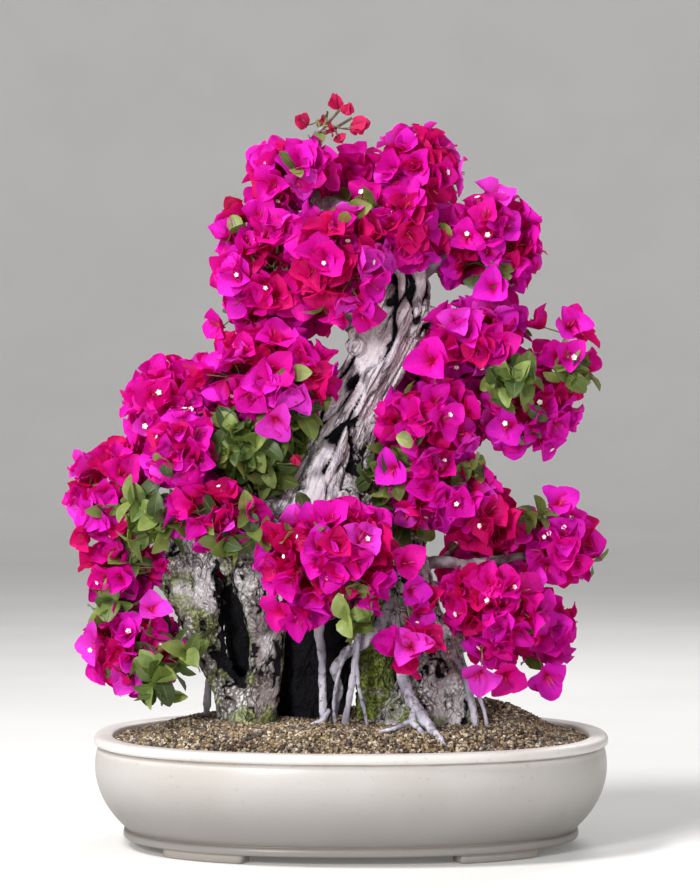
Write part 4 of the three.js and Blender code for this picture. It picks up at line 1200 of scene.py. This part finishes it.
bractForm = {
    "width": (0.45, 0.55), "cup": (0.0, 0.38), "wave": (0.06, 0.19), "reach": (0.92, 1.06),
    "rootOpening": 0.34, "tipOpening": 1.28, "seed": 71,
}


def makeBracts():
    chance = np.random.default_rng(bractForm["seed"])
    root, axis, length, home, openness, isInner = (columnOf(flowers, k) for k in range(6))
    count = len(root)
    turn = chance.uniform(0, 2 * np.pi, count)
    isBud = home < 0
    # outer and inner flowers draw from lit and shaded copies of the bract colours: painted light and shade
    _, outerShares, innerShares = zip(*flowerMix["shades"])
    kinds = len(outerShares)
    inner, outer = (chance.choice(kinds, count, p=shares) for shares in (innerShares, outerShares))
    shade = np.where(isInner, inner, outer)
    shade[isBud] = kinds
    parts = []
    for k in range(3):
        angle = turn + k * 2 * np.pi / 3 + chance.normal(0, 0.12, count)
        tipOpening = bractForm["tipOpening"] + chance.normal(0, 0.22, count)
        opening = np.stack([bractForm["rootOpening"] * openness, tipOpening * openness], axis=-1)
        width = chance.uniform(*bractForm["width"], count)
        cup = chance.uniform(*bractForm["cup"], count) * np.where(isBud, 1.4, 1)
        wave = np.stack([chance.uniform(*bractForm["wave"], count), chance.uniform(0, 6.3, count)], axis=-1)
        reach = length * chance.uniform(*bractForm["reach"], count)
        parts.append((root, axis, across3(axis, angle), reach, opening, width, cup, wave))
    blades = [np.concatenate(values) for values in zip(*parts)]
    bladeShade = np.tile(shade, 3)
    materials = [bractMaterial(f"bract{k + 1}", colour, flowerMix["throat"])
                 for k, (colour, *_) in enumerate(flowerMix["shades"])]
    materials.append(bractMaterial("bractBud", flowerMix["budShade"], flowerMix["budShade"]))
    # the bracts go out as several pieces, by height, so that none is too heavy
    order = np.argsort(np.tile(root[:, 2], 3), kind="stable")
    heights = [spec["centre"][2] for spec in masses.values()]
    cuts = np.quantile(heights, np.linspace(0, 1, len(bractLayers) + 1))
    cuts[0], cuts[-1] = 0, 1e4
    for number, chosen in enumerate(np.array_split(order, len(bractLayers))):
        points, quads, triangles, maps = bladeSurface(*(values[chosen] for values in blades))
        piece = buildPiece("bracts" + bractLayers[number], points, [quads, triangles], materials,
                           dealt=dealtTo(bladeShade[chosen], quads, triangles), maps=maps, slot="bracts")
        names = [name + "_bracts" for name, height in zip(masses, heights)
                 if cuts[number] < height <= cuts[number + 1]]
        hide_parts(*[node for node in nodeNames if node in names])


makeBracts()
print("bracts opened")


def leafMaterial(name, colour):
    material, shader = newMaterial(name, 0.42, 0.4)
    _, fold = bladePlace(material)
    rib = shareOf(material, fold, 0.05, 0.0)
    mottle = shareOf(material, grain(material, 60, 3), 0.3, 0.7)
    body = colourMix(material, mottle, colour, tuple(channel * 1.7 for channel in colour))
    body = colourMix(material, maths(material, "MULTIPLY", rib, 0.5), body, (0.30, 0.38, 0.12))
    link(material, body, shader.inputs["Base Color"])
    bump(material, shader, rib, 0.0008, 0.6)
    letLightThrough(material, shader, (colour[0] * 3.2, colour[1] * 3, colour[2] * 1.6))
    return material


leafForm = {
    "larger": 1.1, "width": (0.30, 0.40), "cup": (0.05, 0.18), "wave": (0.01, 0.04),
    "rootOpening": (0.5, 0.8), "tipOpening": (1.0, 1.7), "seed": 83,
}


def makeLeaves():
    chance = np.random.default_rng(leafForm["seed"])
    root, axis, length = (columnOf(leafSets, k) for k in range(3))
    length = length * leafForm["larger"]
    count = len(root)
    turn = chance.uniform(0, 2 * np.pi, count)
    parts = []
    for k in range(2):
        angle = turn + k * np.pi + chance.normal(0, 0.3, count)
        openings = [chance.uniform(*leafForm[key], count) for key in ("rootOpening", "tipOpening")]
        opening = np.stack(openings, axis=-1)
        width = chance.uniform(*leafForm["width"], count)
        cup = chance.uniform(*leafForm["cup"], count)
        wave = np.stack([chance.uniform(*leafForm["wave"], count), chance.uniform(0, 6.3, count)], axis=-1)
        parts.append((root, axis, across3(axis, angle), length, opening, width, cup, wave))
    blades = [np.concatenate(values) for values in zip(*parts)]
    points, quads, triangles, maps = bladeSurface(*blades, rows=7, columns=3)
    kind = chance.choice(len(leafMix), 2 * count, p=columnOf(leafMix, 1))
    materials = [leafMaterial(f"leafGreen{k + 1}", colour) for k, (colour, _) in enumerate(leafMix)]
    piece = buildPiece("leaves", points, [quads, triangles], materials,
                       dealt=dealtTo(kind, quads, triangles), maps=maps, slot="leaves")
    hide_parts(*[node for node in nodeNames if node.endswith("_leaves")])


makeLeaves()
print("leaves set")


# slender tubes in each flower, and a few open white stars
blossoms = {
    "openShare": 0.10, "star": 3.5, "tubes": 0.6, "seed": 97, "points": 10,
    "tubeColours": ((0.50, 0.02, 0.10), (0.62, 0.12, 0.16)),
    "starColours": ((0.93, 0.86, 0.70), (0.98, 0.96, 0.90)),
}


def makeBlossoms():
    chance = np.random.default_rng(blossoms["seed"])
    root, axis, length = (columnOf(flowers, k) for k in range(3))
    count = len(root)
    curves, radii, stars = [], [], []
    for k in range(3):
        radial = across3(axis, chance.uniform(0, 2 * np.pi, count))
        tip = root + axis * (length * 0.62)[:, None] + radial * (length * 0.16)[:, None]
        middle = (root + tip) / 2 + radial * 1.5
        shown = chance.random(count) < blossoms["tubes"]
        curves.append(np.stack([root, middle, tip], axis=1)[shown])
        radii.append(np.tile([0.6, 0.9, 0.7], (count, 1))[shown])
        opened = chance.random(count) < blossoms["openShare"] * (1 if k == 0 else 0.35)
        stars.append((tip[opened], unit(axis + radial * 0.3)[opened]))
    tubes, tubeFaces = manyTubes(np.concatenate(curves), np.concatenate(radii))
    middle, facing = (np.concatenate(values) for values in zip(*stars))
    first = across3(facing, chance.uniform(0, 6.3, len(middle)))
    second = np.cross(facing, first)
    around = np.arange(blossoms["points"])
    turn = around * 2 * np.pi / len(around)
    size = blossoms["star"] * chance.uniform(0.75, 1.15, (len(middle), 1, 1))
    reach = np.where(around % 2, 0.74, 1.0)
    rim = (middle[:, None] + size * reach[None, :, None]
           * (first[:, None] * np.cos(turn)[None, :, None] + second[:, None] * np.sin(turn)[None, :, None])
           + facing[:, None] * 1.2)
    cup = middle - facing * 0.6
    shape = np.concatenate([rim, cup[:, None]], axis=1).reshape(-1, 3)
    fan = np.stack([around, np.roll(around, -1), np.full(len(around), len(around))], axis=-1)
    starts = np.arange(len(middle)) * (len(around) + 1) + len(tubes)
    starFaces = (fan[None] + starts[:, None, None]).reshape(-1, 3)
    dealt = np.concatenate([np.zeros(len(tubeFaces)), np.ones(len(starFaces))])
    red, _ = grainyMaterial("blossomTube", 0.6, 0.4, 90, 2, (0.4, 0.6), blossoms["tubeColours"])
    cream, _ = grainyMaterial("blossomStar", 0.6, 0.4, 220, 2, (0.35, 0.65), blossoms["starColours"])
    buildPiece("blossoms", np.vstack([tubes, shape]), [tubeFaces, starFaces], [red, cream],
               dealt=dealt, slot="bracts")


makeBlossoms()
print("blossoms opened")


boughs = {
    "colours": ((0.22, 0.19, 0.20), (0.52, 0.48, 0.52)), "spots": (0.08, 0.06, 0.05), "sides": 12,
    "twigColours": ((0.17, 0.13, 0.07), (0.26, 0.27, 0.12)),
    "branchRadii": [2.6, 2.3, 2.0, 1.7], "twigRadii": [1.3, 1.1, 0.95, 0.8], "seed": 800,
}


def boughMaterial():
    material, shader = newMaterial("greyBough", 0.85, 0.25)
    streak = grain(material, 90, 4)
    spots = grain(material, 260, 2)
    colour = colourMix(material, shareOf(material, streak, 0.3, 0.7), *boughs["colours"])
    colour = colourMix(material, shareOf(material, spots, 0.6, 0.7, 0, 0.6), colour, boughs["spots"])
    link(material, colour, shader.inputs["Base Color"])
    bump(material, shader, spots, 0.0015, 0.9)
    return material


def makeBoughs():
    shapes, sides = [], boughs["sides"]
    for number, spec in enumerate(masses.values()):
        curve, entry = massCurve(spec)
        girth = spec.get("girth", growth["stemGirth"])
        curve = curve[:growth["kept"]]
        crooked = np.stack([layered(curve / 26, 500 + number + k, 2) for k in (0, 50, 90)], axis=-1)
        curve = curve + (crooked - 0.5) * 12 * np.sin(np.linspace(0, np.pi, len(curve)))[:, None]
        place = np.arange(len(curve)) / max(entry, 1)
        reach = np.interp(place, [0, 1, 2.2], [girth, girth * growth["boughTaper"], girth * 0.34])
        shape, faces, caps = tube(curve, reach, sides)
        ring = shape[:-2].reshape(len(curve), sides, 3)
        lumps = plates(ring / 9, 600 + number)[..., None]
        ring += unit(ring - curve[:, None]) * (np.clip(lumps, 0, 0.5) - 0.2) * reach[:, None, None] * 0.55
        shape[:-2] = ring.reshape(-1, 3)
        shapes.append((shape, faces, caps))
    piece = buildPiece("boughs", *joinShapes(shapes), [boughMaterial()], slot="bark")
    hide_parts(*[node for node in nodeNames if node.endswith("_bough")])


def makeTwigs():
    curves, radii = [], []
    for number, spec in enumerate(masses.values()):
        chance = np.random.default_rng(boughs["seed"] + number)
        curve, entry = massCurve(spec)
        joints = chance.integers(entry, growth["steps"], len(hubs[number]))
        starts = curve[np.clip(joints, 0, growth["kept"] - 1)]
        for start, hub in zip(starts, hubs[number]):
            bend = (start + hub) / 2 + chance.normal(0, 4, 3)
            curves.append(bezier(start, bend, hub, 4))
            radii.append(boughs["branchRadii"])
    tree = KDTree(sum(len(group) for group in hubs))
    for k, hub in enumerate(np.vstack(hubs)):
        tree.insert(hub, k)
    tree.balance()
    chance = np.random.default_rng(boughs["seed"] + 99)
    for root, facing, *_ in [*flowers, *leafSets]:
        hub, _, _ = tree.find(root)
        start = np.array(hub)
        bend = (start + root) / 2 - facing * 4 + chance.normal(0, 3, 3)
        curves.append(bezier(start, bend, root + facing * 1.5, 4))
        radii.append(boughs["twigRadii"])
    points, faces = manyTubes(np.array(curves), np.array(radii))
    twig, _ = grainyMaterial("youngTwig", 0.7, 0.3, 80, 3, (0.4, 0.6), boughs["twigColours"])
    buildPiece("twigs", points, [faces], [twig], slot="bark")


makeBoughs()
makeTwigs()
print("boughs and twigs grown")


studio = {
    "floor": (0.76, 0.755, 0.745), "glow": 0.11, "world": (0.95, 0.96, 1.0), "worldStrength": 0.19,
    "reach": 7800, "bend": 2800, "wallTop": 6500, "sides": 96, "aim": (0, 0, 0.42),
    "lamps": {
        # place, size, power, colour
        "key": ((-1.6, -1.3, 3.05), 0.7, 104, (1.0, 0.985, 0.97)),
        "front": ((-1.5, -3.2, 1.45), 0.6, 84, (1.0, 0.99, 0.98)),
        "fill": ((2.4, -1.6, 1.0), 1.6, 8, (0.95, 0.97, 1.0)),
        "back": ((0.9, 2.0, 2.2), 1.2, 34, (1.0, 1.0, 1.0)),
    },
}


def makeStudio():
    pale = tuple(channel * 1.04 for channel in studio["floor"])
    material, shader = grainyMaterial("studioPaper", 0.9, 0.2, 3, 2, (0.3, 0.7), (studio["floor"], pale))
    shader.inputs["Emission Color"].default_value = (*studio["floor"], 1)
    shader.inputs["Emission Strength"].default_value = studio["glow"]
    # a round floor that curves up into a wall, wide enough to walk round the pot in
    reach, bend = studio["reach"], studio["bend"]
    curve = [(reach - bend + bend * math.sin(turn), bend - bend * math.cos(turn))
             for turn in np.linspace(0, np.pi / 2, 16)]
    section = [(1, 0), *curve, (reach, studio["wallTop"])]
    around = np.arange(studio["sides"]) * 2 * np.pi / studio["sides"]
    rings = [np.stack([out * np.cos(around), out * np.sin(around), 0 * around + up], axis=-1)
             for out, up in section]
    faces = gridFaces(len(section), studio["sides"], closed=True)
    floor = buildPiece("studioBowl", np.vstack(rings), [faces], [material])
    for name, (place, size, power, colour) in studio["lamps"].items():
        lamp = bpy.data.lights.new(name, "AREA")
        lamp.size, lamp.energy, lamp.color = size, power, colour
        holder = bpy.data.objects.new(name, lamp)
        holder.location = Vector(place)
        toward = Vector(studio["aim"]) - holder.location
        holder.rotation_euler = toward.to_track_quat("-Z", "Y").to_euler()
        bpy.context.scene.collection.objects.link(holder)
    world = bpy.data.worlds.new("studio")
    world.use_nodes = True
    sky = world.node_tree.nodes["Background"]
    sky.inputs["Color"].default_value = (*studio["world"], 1)
    sky.inputs["Strength"].default_value = studio["worldStrength"]
    bpy.context.scene.world = world
    bpy.context.scene.view_settings.view_transform = "Standard"


makeStudio()
print("studio lit")
